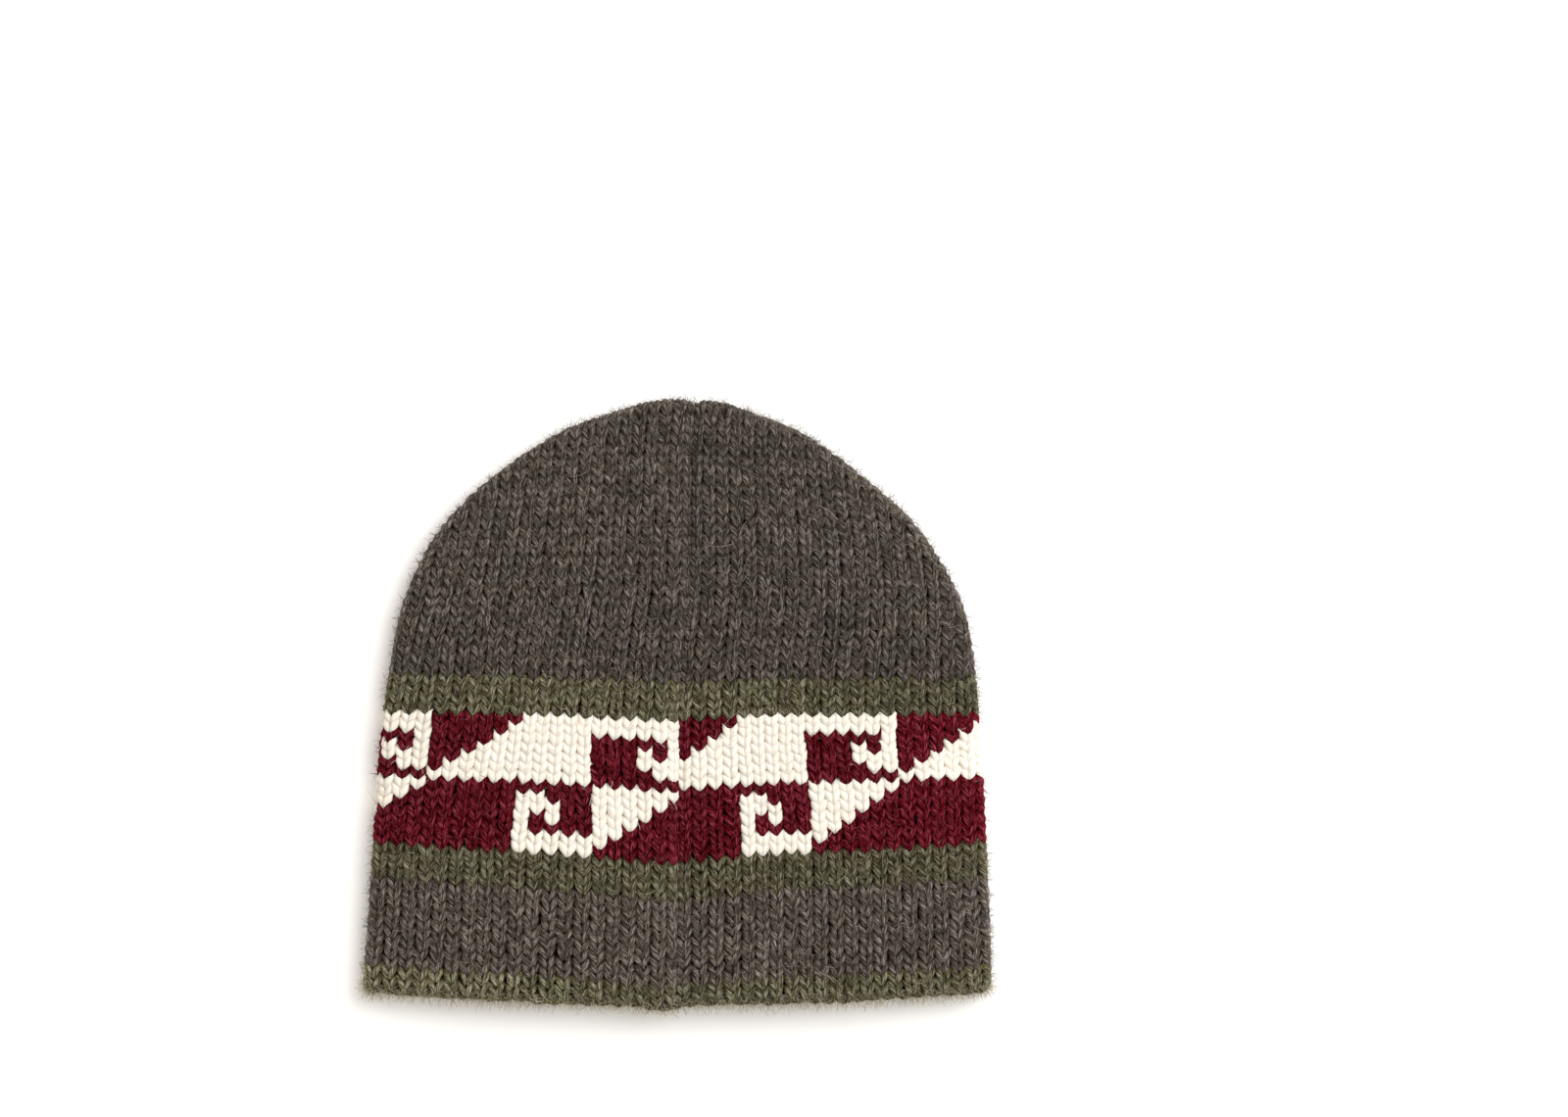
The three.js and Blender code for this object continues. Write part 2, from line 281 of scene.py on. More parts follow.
# Shapes of fibre: the middle and the far end of each, as shares of its length
LYING_SHAPES = (
    ((0.40, 0.10, 0.26), (1.00, -0.06, 0.10)),
    ((0.45, -0.16, 0.16), (0.92, 0.16, 0.30)),
    ((0.30, 0.22, 0.30), (0.74, -0.10, 0.34)),
    ((0.10, 0.14, 0.42), (0.34, -0.08, 0.78)),
)
STANDING_SHAPES = (
    ((0.18, 0.14, 0.42), (0.34, -0.10, 0.92)),
    ((-0.14, 0.20, 0.40), (0.12, 0.36, 0.84)),
    ((0.30, -0.08, 0.36), (0.22, 0.20, 0.72)),
    ((0.05, -0.22, 0.50), (-0.30, -0.10, 0.90)),
)
FIBRE_ROOT = -0.06         # every fibre starts a little inside the yarn
FIBRE_TIP = 0.4            # its thickness at the tip, as a share of that at the root
FIBRE_SIDES = 3
FIBRE_STEPS = 2
LONG_FIBRE = 1.5           # fibres over this share of the usual length are bent in more steps
LONG_STEPS = 6
FIBRE_LEAN = ((-0.25, -0.3, 0), (0.25, 0.2, 2 * math.pi))   # least and most turn about each axis
FIBRE_FLOOR = 0.05         # no fibre goes lower than this

# Fibres grow only on the front of the loops, where the yarn doesn't face down, and not under the cap
FIBRE_LEAST_FRONT = -0.1
FIBRE_LEAST_UP = -0.45
FIBRE_LEAST_SHELL_UP = -0.5

# The loose fibres: on which yarns they grow, their tones, how many on each square centimetre, their
# length and radius as shares of the usual fibre's, how much denser they are at the folds, how
# squarely the yarn under them faces out of the cap, and whether they lie or stand
USUAL_FUZZ = {"length": 0.8, "radius": 1.0, "fold": 1.0, "facing": 0.3, "shapes": LYING_SHAPES}
STANDING = {"length": 1.15, "radius": 0.8, "facing": 0.5, "shapes": STANDING_SHAPES}
STRAY = {"length": 2.0, "radius": 0.6}
GREENS = ("hem", "lower_stripe", "upper_stripe")
FUZZ = {
    name: {**USUAL_FUZZ, "yarns": yarns, "tones": tones, "each_cm2": each_cm2, **changes}
    for name, yarns, tones, each_cm2, changes in (
        ("crown_fuzz", ("crown_upper", "crown_under"), "grey", 4.0, {"fold": 10.0}),
        ("border_fuzz", ("border",), "grey", 6.0, {"fold": 12.0}),
        ("green_fuzz", GREENS, "green", 6.0, {"fold": 12.0}),
        ("ground_fuzz", ("fret_ground",), "red", 6.0, {"fold": 8.0}),
        ("figure_fuzz", ("fret_figure",), "cream", 3.0, {"fold": 8.0}),
        ("edge_fuzz", ("cast_on_edge",), "pale green", 470.0, STANDING),
        ("grey_strays", ("crown_upper", "border"), "pale grey", 0.5, STRAY),
        ("green_strays", GREENS, "pale green", 0.6, STRAY),
        ("red_strays", ("fret_ground",), "red", 0.5, STRAY),
    )
}

# The stage, in metres: the light's place and width, and half the floor's width
KEY_PLACE = (2.85, 2.04, 4.2)
KEY_WIDTH = 4.4
KEY_TINT = (0.97, 0.99, 1.0)
SKY_TINT = (1.0, 0.94, 0.87, 1)
FLOOR_SHADE = (0.93, 0.93, 0.93, 1)
FLOOR_REACH = 15.0


def size(name, text, value, **options):
    """A property for one size."""
    return bpy.props.FloatProperty(name=name, description=text, default=value, **options)


def length(name, text, value):
    """A property for one length, from its millimetres."""
    return size(name, text, value * MM, unit="LENGTH")


def sides(name, text, value):
    """A property for the number of sides of a yarn's section."""
    return bpy.props.IntProperty(name=name, description=text, default=value, min=4, max=12)


def colour(name, text, value):
    """A property for one yarn's colour, as linear red, green and blue."""
    return bpy.props.FloatVectorProperty(
        name=name, description=text, default=value, subtype="COLOR", size=3, min=0, max=1
    )


class BeanieSizes(bpy.types.PropertyGroup):
    """Sizes of the yarn, its stitches and its loose fibres."""

    yarn_radius: length("Yarn radius", "Radius of the heather yarns", 1.26)
    plump_radius: length("Plump radius", "Radius of the smooth cream yarn", 1.36)
    yarn_sides: sides("Yarn sides", "Sides of the yarn's section", 6)
    plump_sides: sides("Plump sides", "Sides of the cream yarn's section", 8)
    under_sides: sides("Underside sides", "Sides of the yarn's section under the crown", 5)
    loop_lean: size("Loop lean", "How far a loop's legs lean, in wales", 0.295)
    loop_pinch: size("Loop pinch", "How much nearer its two legs stand to each other, in wales", 0.012)
    loop_rise: size("Loop rise", "Half the height of a loop, in rows", 1.02)
    plump_rise: size("Plump rise", "Half the height of a loop of the cream yarn, in rows", 0.97)
    plump_sink: length("Plump sink", "How far the cream yarn lies behind the others", 0.2)
    loop_tilt: size("Loop tilt", "How far the foot of a loop stands before its head", 0.30)
    loop_depth: length("Loop depth", "Half the depth of a loop", 1.25)
    fibre_radius: length("Fibre radius", "Radius of a loose fibre", 0.085)
    fibre_length: length("Fibre length", "Length of a loose fibre", 3.6)


class BeanieColours(bpy.types.PropertyGroup):
    """Colours of the yarns."""

    grey: colour("Grey", "Brown-grey heather of the crown and the border", (0.078, 0.064, 0.053))
    green: colour("Green", "Olive green heather of the stripes and the hem", (0.102, 0.087, 0.050))
    red: colour("Red", "Dark red ground of the fret band", (0.108, 0.0032, 0.0070))
    cream: colour("Cream", "Cream figure of the fret band", (0.945, 0.883, 0.79))


class BeanieStage(bpy.types.PropertyGroup):
    """Camera, light and floor."""

    view_width: length("View width", "Width of the picture at the cap", 592.0)
    view_height: length("Camera height", "Height of the camera", 1600.0)
    view_right: length("Camera right", "Camera to the right of the cap", 40.2)
    view_up: length("Camera up", "Camera towards the crown", 55.1)
    key_power: size("Key light", "Power of the key light in watts", 270.0)
    sky: size("Sky", "Strength of the light from all round", 0.70)
    floor_glow: size("Floor glow", "Light given off by the floor itself", 0.12)


# The outline of the shell, and the shape of its upper layer, read from the CAD model


@functools.lru_cache(maxsize=None)
def cad_surface():
    """The CAD model's faces, for casting rays at."""
    mesh = frame["nodes"][NODE].data
    points = [v.co / MM for v in mesh.vertices]
    return BVHTree.FromPolygons(points, [tuple(p.vertices) for p in mesh.polygons])


def hit(start, direction):
    """Where a ray first meets the CAD model, or None."""
    place = cad_surface().ray_cast(Vector(start), Vector(direction))[0]
    return None if place is None else np.array(place)


@functools.lru_cache(maxsize=None)
def fold_line():
    """Points along the fold, from the hem's left corner over the crown to its right corner."""
    far = 400.0
    hem, side_top, step = -102.0, 96.0, 3.0
    below_hem = -132.0
    top_points = 44
    level = FOLD_RADIUS - 0.1
    arms = []
    for sign in (-1, 1):
        arm = [hit((sign * far, y, level), (-sign, 0, 0))[:2] for y in np.arange(hem, side_top, step)]
        slope = (arm[2][0] - arm[0][0]) / (arm[2][1] - arm[0][1])
        on_down = [
            (arm[0][0] + slope * (y - arm[0][1]), y) for y in np.arange(below_hem, hem - 2.0, step)
        ]
        arms.append(np.array(on_down + arm))
    left, right = arms
    across = np.linspace(left[-1, 0], right[-1, 0], top_points)[1:-1]
    top = np.array([hit((x, far, level), (0, -1, 0))[:2] for x in across])
    top[:, 1] += PEAK_RISE * np.exp(-(((top[:, 0] - PEAK_PLACE) / PEAK_WIDTH) ** 2))
    return np.vstack([left, top, right[::-1]])


@functools.lru_cache(maxsize=None)
def fold_normals():
    """The inward direction at each point of the fold line."""
    along = np.gradient(fold_line(), axis=0)
    along = (along + np.roll(along, 1, axis=0) + np.roll(along, -1, axis=0)) / 3
    along[0] = along[1]
    along[-1] = along[-2]
    along /= np.linalg.norm(along, axis=1)[:, None]
    return np.stack([along[:, 1], -along[:, 0]], axis=1)


def nearest_on_fold(points):
    """For each plan point: its distance inside the fold line, the nearest place on it, the inward way."""
    line, normals = fold_line(), fold_normals()
    start, step = line[:-1], np.diff(line, axis=0)
    length2 = (step ** 2).sum(axis=1)
    places = np.empty_like(points)
    ways = np.empty_like(points)
    at_once = 4000
    for first in range(0, len(points), at_once):
        some = points[first:first + at_once]
        offset = some[:, None, :] - start[None]
        share = np.clip((offset * step).sum(axis=2) / length2, 0, 1)
        gap = ((offset - share[:, :, None] * step) ** 2).sum(axis=2)
        best = gap.argmin(axis=1)
        t = share[np.arange(len(some)), best][:, None]
        places[first:first + at_once] = start[best] + t * step[best]
        way = (1 - t) * normals[best] + t * normals[best + 1]
        ways[first:first + at_once] = way / np.linalg.norm(way, axis=1)[:, None]
    distance = ((points - places) * ways).sum(axis=1)
    return distance, places, ways


@functools.lru_cache(maxsize=None)
def roof_grid():
    """How far the upper layer is raised above a plain fold, on a grid over the plan."""
    ticks = np.arange(-ROOF_REACH, ROOF_REACH + ROOF_STEP, ROOF_STEP)
    x, y = np.meshgrid(ticks, ticks, indexing="ij")
    points = np.stack([x.ravel(), y.ravel()], axis=1)
    distance, places, ways = nearest_on_fold(points)
    inset = FOLD_RADIUS + 0.1
    edge = distance < inset
    points[edge] = places[edge] + ways[edge] * inset
    points[:, 1] = np.maximum(points[:, 1], hem_height(points[:, 0]) + HEM_LIP)
    rise = np.zeros(len(points))
    for i, (px, py) in enumerate(points):
        place = hit((px, py, 200.0), (0, 0, -1))
        rise[i] = 0.0 if place is None else max(0.0, place[2] - 2 * FOLD_RADIUS)
    return rise.reshape(x.shape)


def on_grid(grid, points):
    """Values of a grid over the plan at some points."""
    place = np.clip((points + ROOF_REACH) / ROOF_STEP, 0, np.array(grid.shape) - 1.001)
    i, j = place.astype(int).T
    s, t = (place - place.astype(int)).T
    low = grid[i, j] * (1 - t) + grid[i, j + 1] * t
    high = grid[i + 1, j] * (1 - t) + grid[i + 1, j + 1] * t
    return low * (1 - s) + high * s


def on_shell(plan, upper):
    """Places and outward directions on the middle of the wall, for points of the unrolled plan.

    A point past the fold line comes out on the other layer.
    """
    distance, places, ways = nearest_on_fold(plan)
    angle = np.clip(distance / MIDDLE_RADIUS, -math.pi / 2, math.pi / 2)
    turned = np.abs(distance) < QUARTER_FOLD
    sine, cosine = np.sin(angle), np.cos(angle)
    inset = np.where(turned, WALL / 2 + MIDDLE_RADIUS * (1 - cosine), np.abs(distance))
    flat = np.where((distance < QUARTER_FOLD)[:, None], places + ways * inset[:, None], plan)
    over = np.where(upper, 1.0, -1.0) * sine
    roof = np.clip(over, 0, 1) ** 2
    under = np.clip(-over, 0, 1) ** 2
    rise = roof_grid()
    slopes = np.gradient(rise, ROOF_STEP)
    height = FOLD_RADIUS + MIDDLE_RADIUS * over + on_grid(rise, flat) * roof + FLOOR_CLEARANCE * under
    outward = np.empty((len(plan), 3))
    outward[:, 0] = -ways[:, 0] * cosine - on_grid(slopes[0], flat) * roof
    outward[:, 1] = -ways[:, 1] * cosine - on_grid(slopes[1], flat) * roof
    outward[:, 2] = over
    outward /= np.linalg.norm(outward, axis=1)[:, None]
    return np.column_stack([flat, height]), outward


def edge_columns(height):
    """The fold line's left and right distance from the middle at some heights."""
    line = fold_line()
    peak = line[:, 1].argmax()
    left = np.interp(height, line[:peak + 1, 1], line[:peak + 1, 0])
    right = np.interp(height, line[peak:, 1][::-1], line[peak:, 0][::-1])
    return left, right


def between_folds(x, height):
    """Where a place of the plan stands between the folds: -1 at the left one, 1 at the right one."""
    left, right = edge_columns(height)
    return (2 * x - left - right) / np.maximum(right - left, 1.0)


def seam_column(height):
    """How far the seam lies from the cap's middle line at some heights."""
    return np.interp(height, SEAM_HEIGHTS, SEAM_OFFSETS)


def hem_height(x):
    """Height of the hem's lowest yarn across the plan."""
    across = np.clip(between_folds(x, HEM_LEVEL), -1, 1)
    return row_heights(np.zeros_like(across), across, x, True) - HEM_LIP


# Where the rows and columns of stitches run


@functools.lru_cache(maxsize=None)
def edges_of(key):
    """One of the sizes of every section's edge, from the hem's foot up."""
    return np.array([HEM_FOOT[key]] + [section[key] for section in SECTIONS])


@functools.lru_cache(maxsize=None)
def row_counts():
    """How many rows lie below each section's edge."""
    return np.cumsum([0] + [section["rows"] for section in SECTIONS])


def at_row(row, key):
    """One of the sections' sizes at some rows."""
    return np.interp(row, row_counts(), edges_of(key))


def row_heights(row, across, x, upper):
    """Heights in the plan for a place in rows up from the hem.

    across is the place's share of the half width, and x its distance from the cap's middle line.
    """
    counts = row_counts()
    crown_foot = counts[-2]
    middle = at_row(row, "middle")
    fold = np.where(across < 0, at_row(row, "left"), at_row(row, "right"))
    row_height = (edges_of("middle")[1] - edges_of("middle")[0]) / counts[1]
    below = np.minimum(row, 0) * row_height
    crown_share = np.clip((row - crown_foot) / (counts[-1] - crown_foot), 0, 1)
    arch = CROWN_ARCH * np.sin(math.pi * crown_share ** CROWN_ARCH_LATENESS)
    arch = arch + TOP_ARCH * crown_share ** TOP_ARCH_LATENESS
    height = middle + below + (fold - middle - arch) * across ** 2
    halves = (counts[FRET_FOOT], (counts[FRET_FOOT] + counts[FRET_TOP]) / 2, counts[FRET_TOP])
    height = height + np.interp(row, halves, (0, FRET_MIDDLE_RISE, 0))
    from_seam = x - seam_column(middle)
    reach = np.where(from_seam < 0, SEAM_DROOP_LEFT, SEAM_DROOP_RIGHT)
    droop = np.where(from_seam < 0, at_row(row, "seam_left"), at_row(row, "seam_right"))
    fading = np.clip(1 - (row - crown_foot) / DROOP_FADE_ROWS, 0, 1)
    droop = np.where(row > crown_foot, SECTIONS[-2]["seam_left"] * fading ** 2, droop)
    height = height - droop * np.exp(-((from_seam / reach) ** 2))
    dip = HEM_DIP * np.exp(-(((from_seam - HEM_DIP_PLACE) / HEM_DIP_WIDTH) ** 2))
    height = height - dip * np.clip(1 - row / counts[1], 0, 1)
    corner = np.clip((np.abs(across) - HEM_CORNER_START) / (1 - HEM_CORNER_START), 0, 1) ** 2
    peek = np.where(upper, 0.0, UNDER_HEM_PEEK * np.clip(PEEK_END - across, 0, 1))
    fade = np.clip(1 - row / HEM_CORNER_ROWS, 0, 1) ** 2
    return height + fade * (HEM_CORNER_RISE * corner - peek)


def tube_rows():
    """How many rows lie below the crown."""
    return sum(section["rows"] for section in SECTIONS[:-1])


def wale_width(height):
    """Width of a wale at some heights. In the crown the wales draw together a little."""
    base = SECTIONS[-2]["middle"]
    left, right = edge_columns(np.minimum(height, base))
    width = 2 * (right - left) / ROUND
    share = np.clip((height - base) / (fold_line()[:, 1].max() - base), 0, 1)
    return width * (1 - CROWN_GATHER * share * share * (3 - 2 * share))


def wander(wale, height):
    """How far a column stands from even spacing."""
    top = np.interp(wale, WANDER_WALES, WANDER_TOP)
    foot = np.interp(wale, WANDER_WALES, WANDER_FOOT)
    share = np.clip((height - WANDER_FOOT_HEIGHT) / (WANDER_TOP_HEIGHT - WANDER_FOOT_HEIGHT), 0, 1)
    fade = np.clip((WANDER_END_HEIGHT - height) / (WANDER_END_HEIGHT - WANDER_TOP_HEIGHT), 0, 1)
    return (foot + (top - foot) * share) * fade


def plan_points(wale, row, upper):
    """Unrolled plan places for positions counted in wales from the seam and rows from the hem."""
    across = np.zeros_like(wale)
    x = wale * USUAL_WALE
    height = row_heights(row, across, x, upper)
    for _ in range(PLAN_STEPS):
        height += PLAN_EASE * (row_heights(row, across, x, upper) - height)
        x = seam_column(height) + wale * wale_width(height) + wander(wale, height)
        across = np.clip(between_folds(x, height), -1, 1)
    return np.stack([x, height], axis=-1)


# The stitches of each row


def fold_wales(row):
    """How many wales lie right and left of the seam before the fold, at a row."""
    ways = np.array([1.0, -1.0])
    clear_of_seam = 100.0
    height = row_heights(np.full(2, row), ways, ways * clear_of_seam, True)
    left, right = edge_columns(height)
    aside = np.where(ways > 0, right, left) - seam_column(height) - wander(ways * FOLD_WALE, height)
    return np.abs(aside) / wale_width(height)


def tube_stitches(row):
    """Start, end and layer of each stitch of a row below the crown."""
    right, left = fold_wales(row + 0.5)
    under = ROUND - right - left
    squeeze = (right + left) / under
    widths = np.ones(WALES)
    widths[0] = FIRST_WALE_SHARE
    widths[-1] = LAST_WALE_SHARE
    ends = np.concatenate([[0], np.cumsum(widths)])
    stitches = []
    for a, b in zip(ends[:-1], ends[1:]):
        middle = (a + b) / 2
        if middle < right:
            stitches.append((a, b, True))
        elif middle < right + under:
            stitches.append((right - (a - right) * squeeze, right - (b - right) * squeeze, False))
        else:
            stitches.append((a - ROUND, b - ROUND, True))
    return stitches


def spread(start, end, first):
    """Stitch ends from start to end. Whole stitches end at first and every wale after it."""
    sign = 1 if end > start else -1
    marks = []
    mark = first
    while sign * (end - mark) > LEAST_REST:
        if sign * (mark - start) > LEAST_STITCH:
            marks.append(mark)
        mark += sign
    return [start] + marks + [end]


def crown_stitches(row):
    """Start, end and layer of each stitch of a crown row. The folds cut off wales as it narrows."""
    right, left = fold_wales(row + CROWN_ROW_END)
    base_right, _ = fold_wales(tube_rows())
    phase = (2 * base_right - FIRST_WALE_SHARE) % 1.0
    runs = (
        (spread(0, right, FIRST_WALE_SHARE), True),
        (spread(right, -left, math.floor(right - phase) + phase), False),
        (spread(0, -left, -LAST_WALE_SHARE)[::-1], True),
    )
    stitches = []
    for ends, upper in runs:
        stitches += [(a, b, upper) for a, b in zip(ends[:-1], ends[1:])]
    return stitches


def row_stitches(row):
    """Start, end and layer of each stitch of a row."""
    return tube_stitches(row) if row < tube_rows() else crown_stitches(row)


def hand(row):
    """The knitter's hand: a source of small random changes, the same in every run."""
    return np.random.RandomState(SEED + 97 * row)


def section_of(row):
    """The section that a row belongs to."""
    return SECTIONS[int(np.searchsorted(row_counts(), row, side="right")) - 1]


def section_rows(name):
    """The row numbers of a section, from the hem up."""
    place = [section["name"] for section in SECTIONS].index(name)
    counts = row_counts()
    return range(counts[place], counts[place + 1])


def towards_hem(outward, share):
    """Outward directions turned towards the hem's edge by some share."""
    turned = outward - np.outer(share, (0, 1, 0))
    return turned / np.linalg.norm(turned, axis=1)[:, None]


def painted_light_and_tone(row, plan, fold, seam):
    """How light the wool is drawn along a row: the section's lighter or darker tones, painted light at the
    folds, painted shade in the groove of the seam, and darker towards the top of the crown.
    """
    across = between_folds(plan[:, 0], plan[:, 1])
    # Painted light at the folds, where the yarn faces sideways and gets less light from above
    shade = np.interp(across, (-1, 0, 1), section_of(row)["shades"]) * (1 + FOLD_PAINTED_LIGHT * fold)
    # Painted shade in the seam's groove
    shade = shade * (1 - seam * np.interp(plan[:, 1], GROOVE_HEIGHTS, GROOVE_PAINTED_SHADES))
    crown_share = max(0.0, (row - tube_rows()) / SECTIONS[-1]["rows"])
    return shade * (1 - CROWN_TOP_SHADE * crown_share ** 3)


def loops(row, sizes, plump=False):
    """Every loop of a row: places, outward ways, plumpness, tone and shade along each.

    The loops of the plump cream yarn are a little shorter and lie a little further back.
    """
    start, end, upper = (np.array(column) for column in zip(*row_stitches(row)))
    shape = (len(start), POINTS_PER_STITCH)
    turn = np.arange(POINTS_PER_STITCH) * 2 * math.pi / POINTS_PER_STITCH
    chance = hand(row)
    uneven = chance.normal(size=(len(start), len(UNEVEN))) * UNEVEN
    lean, rise, shift, sway, deepen, swell = uneven.T[:, :, None]
    lean = sizes.loop_lean * (1 + lean)
    rise = (sizes.plump_rise if plump else sizes.loop_rise) * (1 + rise)
    ease = np.sin(turn / 2) ** 2
    share = turn / (2 * math.pi) + lean * np.sin(2 * turn) + sizes.loop_pinch * np.sin(turn)
    wale = start[:, None] + (end - start)[:, None] * (share + shift * ease)
    sway = ROW_SWAY * math.sin(ROW_SWAY_TURN * row) + sway
    up = row + 0.5 - rise * np.cos(turn) + sway * ease
    foot = np.clip(np.cos(turn), 0, 1) * (row == 0)
    front = sizes.loop_tilt * np.cos(turn) - np.cos(2 * turn) + FREE_FOOT * foot ** 2
    front = np.broadcast_to(front, shape)
    depth = (sizes.loop_depth / MM * front * (1 + deepen)).ravel()
    layer = np.repeat(upper, POINTS_PER_STITCH)
    plan = plan_points(wale.ravel(), up.ravel(), layer)
    places, outward = on_shell(plan, layer)
    fold = (1 - np.abs(outward[:, 2])) ** FOLD_ONSET
    depth = depth * (1 - np.where(depth < 0, FOLD_BACK_FLATTENING, FOLD_FRONT_FLATTENING) * fold)
    seam = np.exp(-(((plan[:, 0] - seam_column(plan[:, 1])) / SEAM_HALF_WIDTH) ** 2))
    seam = seam * np.maximum(layer, fold)
    groove = seam * np.interp(plan[:, 1], GROOVE_HEIGHTS, GROOVE_DEPTHS)
    sink = sizes.plump_sink / MM if plump else 0.0
    places = places + outward * (depth - groove - sink)[:, None]
    return {
        "places": places.reshape(*shape, 3),
        # The first row's feet turn their outward way towards the hem; the painted shade at the yarn's sides
        # and the fibres go by it
        "outward": towards_hem(outward, np.tile(foot, len(start))).reshape(*shape, 3),
        "plump": 1 - LEG_PLUMPNESS * np.cos(2 * turn) + swell,
        "tone": np.broadcast_to(chance.uniform(size=(len(start), 1)), shape),
        "front": front,
        # The shade: the sections' lighter or darker tones, painted light at the folds and painted shade in
        # the seam's groove
        "shade": painted_light_and_tone(row, plan, fold, seam).reshape(shape),
        "upper": upper,
    }


# Strands: yarn through the stitches, as runs of points


NUMBERS = ("plump", "tone", "front", "shade")


def run_of(places, outward, plump, tone, front, shade):
    """A run of points along a yarn. A single number holds for all of them."""
    run = {"places": places, "outward": outward}
    for key, value in zip(NUMBERS, (plump, tone, front, shade)):
        run[key] = np.broadcast_to(value, len(places))
    return run


def strand(runs):
    """One length of yarn from several runs of points."""
    joined = {key: np.concatenate([run[key] for run in runs]) for key in ("places", "outward", *NUMBERS)}
    steps = np.linalg.norm(np.diff(joined["places"], axis=0), axis=1)
    start = START_SPACING * abs(joined["places"][0].sum())
    joined["along"] = np.concatenate([[0], np.cumsum(steps)]) + start
    return joined


def some_loops(row, chosen):
    """The points of the chosen stitches of a row, in order, as one run."""
    run = {key: row[key][chosen].reshape(-1, 3) for key in ("places", "outward")}
    run.update({key: row[key][chosen].ravel() for key in NUMBERS})
    return run


def tail(run, end):
    """The yarn's end, turned to the inside of the cap behind its first or last point."""
    inward = run["places"][end] - TAIL_DEPTH * run["outward"][end]
    return run_of(inward[None], run["outward"][end][None], TAIL_PLUMPNESS, run["tone"][end], -1.0, 1.0)


def row_strand(row, chosen=slice(None), first_tail=True, last_tail=True):
    """A row's yarn through the chosen stitches, with its ends tucked in at the seam."""
    run = some_loops(row, chosen)
    runs = [run]
    if first_tail:
        runs.insert(0, tail(run, 0))
    if last_tail:
        runs.append(tail(run, -1))
    return strand(runs)


def chart_is_cream(chart_row, wale):
    """Whether a stitch of the fret band is cream."""
    return FRET_CHART[chart_row][(wale + CHART_START) % len(FRET_CHART[0])] == "#"


def float_run(row, stitch):
    """Two points of yarn passing behind a stitch, inside the cap."""
    picks = [POINTS_PER_STITCH // 4, 3 * POINTS_PER_STITCH // 4]
    outward = row["outward"][stitch][picks]
    places = row["places"][stitch][picks] - outward * FLOAT_DEPTH
    return run_of(places, outward, FLOAT_PLUMPNESS, row["tone"][stitch][picks], -1.0, 1.0)


def fret_strand(row, chart_row, cream):
    """One colour's yarn along a row of the band. It passes behind the stitches of the other."""
    return strand([
        some_loops(row, [wale]) if chart_is_cream(chart_row, wale) == cream else float_run(row, wale)
        for wale in range(WALES)
    ])


def edge_strands():
    """The two strands of the cast-on edge."""
    stitches = tube_stitches(0)
    steps = np.arange(EDGE_STEPS) / EDGE_STEPS
    wale = np.concatenate([a + (b - a) * steps for a, b, _ in stitches])
    layer = np.repeat([upper for _, _, upper in stitches], EDGE_STEPS)
    turn = 2 * math.pi * np.arange(len(wale)) / EDGE_STEPS
    strands = []
    for side in (-math.pi / 2, math.pi / 2):
        phase = side + turn
        plan = plan_points(wale, EDGE_ROW + EDGE_SWING * np.sin(phase), layer)
        places, outward = on_shell(plan, layer)
        places = places + outward * (EDGE_DEPTH * (np.cos(phase) - 1))[:, None]
        outward = towards_hem(outward, np.full(len(places), EDGE_TURN))
        # The edge is painted paler: painted light on its shaded side towards the hem
        strands.append(strand([run_of(places, outward, EDGE_PLUMPNESS, 0.5, 1.0, EDGE_PAINTED_LIGHT)]))
    return strands


def hair_strands():
    """The single hairs, as lengths of yarn."""
    strands = []
    for chart in HAIRS:
        steps = np.linspace(0, len(chart) - 1, HAIR_STEPS * len(chart))
        plan = np.stack([np.interp(steps, np.arange(len(chart)), line) for line in zip(*chart)], axis=1)
        for _ in range(3):
            plan[1:-1] = (plan[:-2] + 2 * plan[1:-1] + plan[2:]) / 4
        places, outward = on_shell(plan, np.ones(len(plan), bool))
        taper = np.linspace(1.0, 0.5, len(plan))
        strands.append(strand([run_of(places + outward * HAIR_LIFT, outward, taper, 0.8, 1.0, 1.0)]))
    return strands


# Nodes, for the trees that make the yarn and for its materials


def node(tree, kind, inputs=(), **settings):
    """Adds a node. An input is linked if its value comes from a node, left if None, and else set."""
    made = tree.nodes.new(kind)
    for name, value in settings.items():
        setattr(made, name, value)
    for key, value in dict(inputs).items():
        if isinstance(value, bpy.types.NodeSocket):
            tree.links.new(value, made.inputs[key])
        elif value is not None:
            made.inputs[key].default_value = value
    return made


def maths(tree, operation, a, b=None):
    """One step of arithmetic."""
    return node(tree, "ShaderNodeMath", {0: a, 1: b}, operation=operation).outputs[0]


def range_map(tree, value, low, high, to_low, to_high):
    """Maps one range of a value to another, held at its ends."""
    return node(tree, "ShaderNodeMapRange", {0: value, 1: low, 2: high, 3: to_low, 4: to_high}).outputs[0]


def dot(tree, a, b):
    """How far two directions agree."""
    return node(tree, "ShaderNodeVectorMath", {0: a, 1: b}, operation="DOT_PRODUCT").outputs["Value"]


def split(tree, vector):
    """The three numbers of a vector."""
    return node(tree, "ShaderNodeSeparateXYZ", {0: vector}).outputs


def vector_of(tree, x, y, z):
    """A vector from three numbers."""
    return node(tree, "ShaderNodeCombineXYZ", {0: x, 1: y, 2: z}).outputs[0]


def named(tree, name, kind):
    """A named attribute, in a tree of Geometry Nodes."""
    return node(tree, "GeometryNodeInputNamedAttribute", {"Name": name}, data_type=kind).outputs[0]


def store(tree, geometry, name, kind, value, domain="POINT"):
    """Keeps a value on the geometry under a name."""
    inputs = {"Name": name, "Geometry": geometry, "Value": value}
    kept = node(tree, "GeometryNodeStoreNamedAttribute", inputs, data_type=kind, domain=domain)
    return kept.outputs["Geometry"]


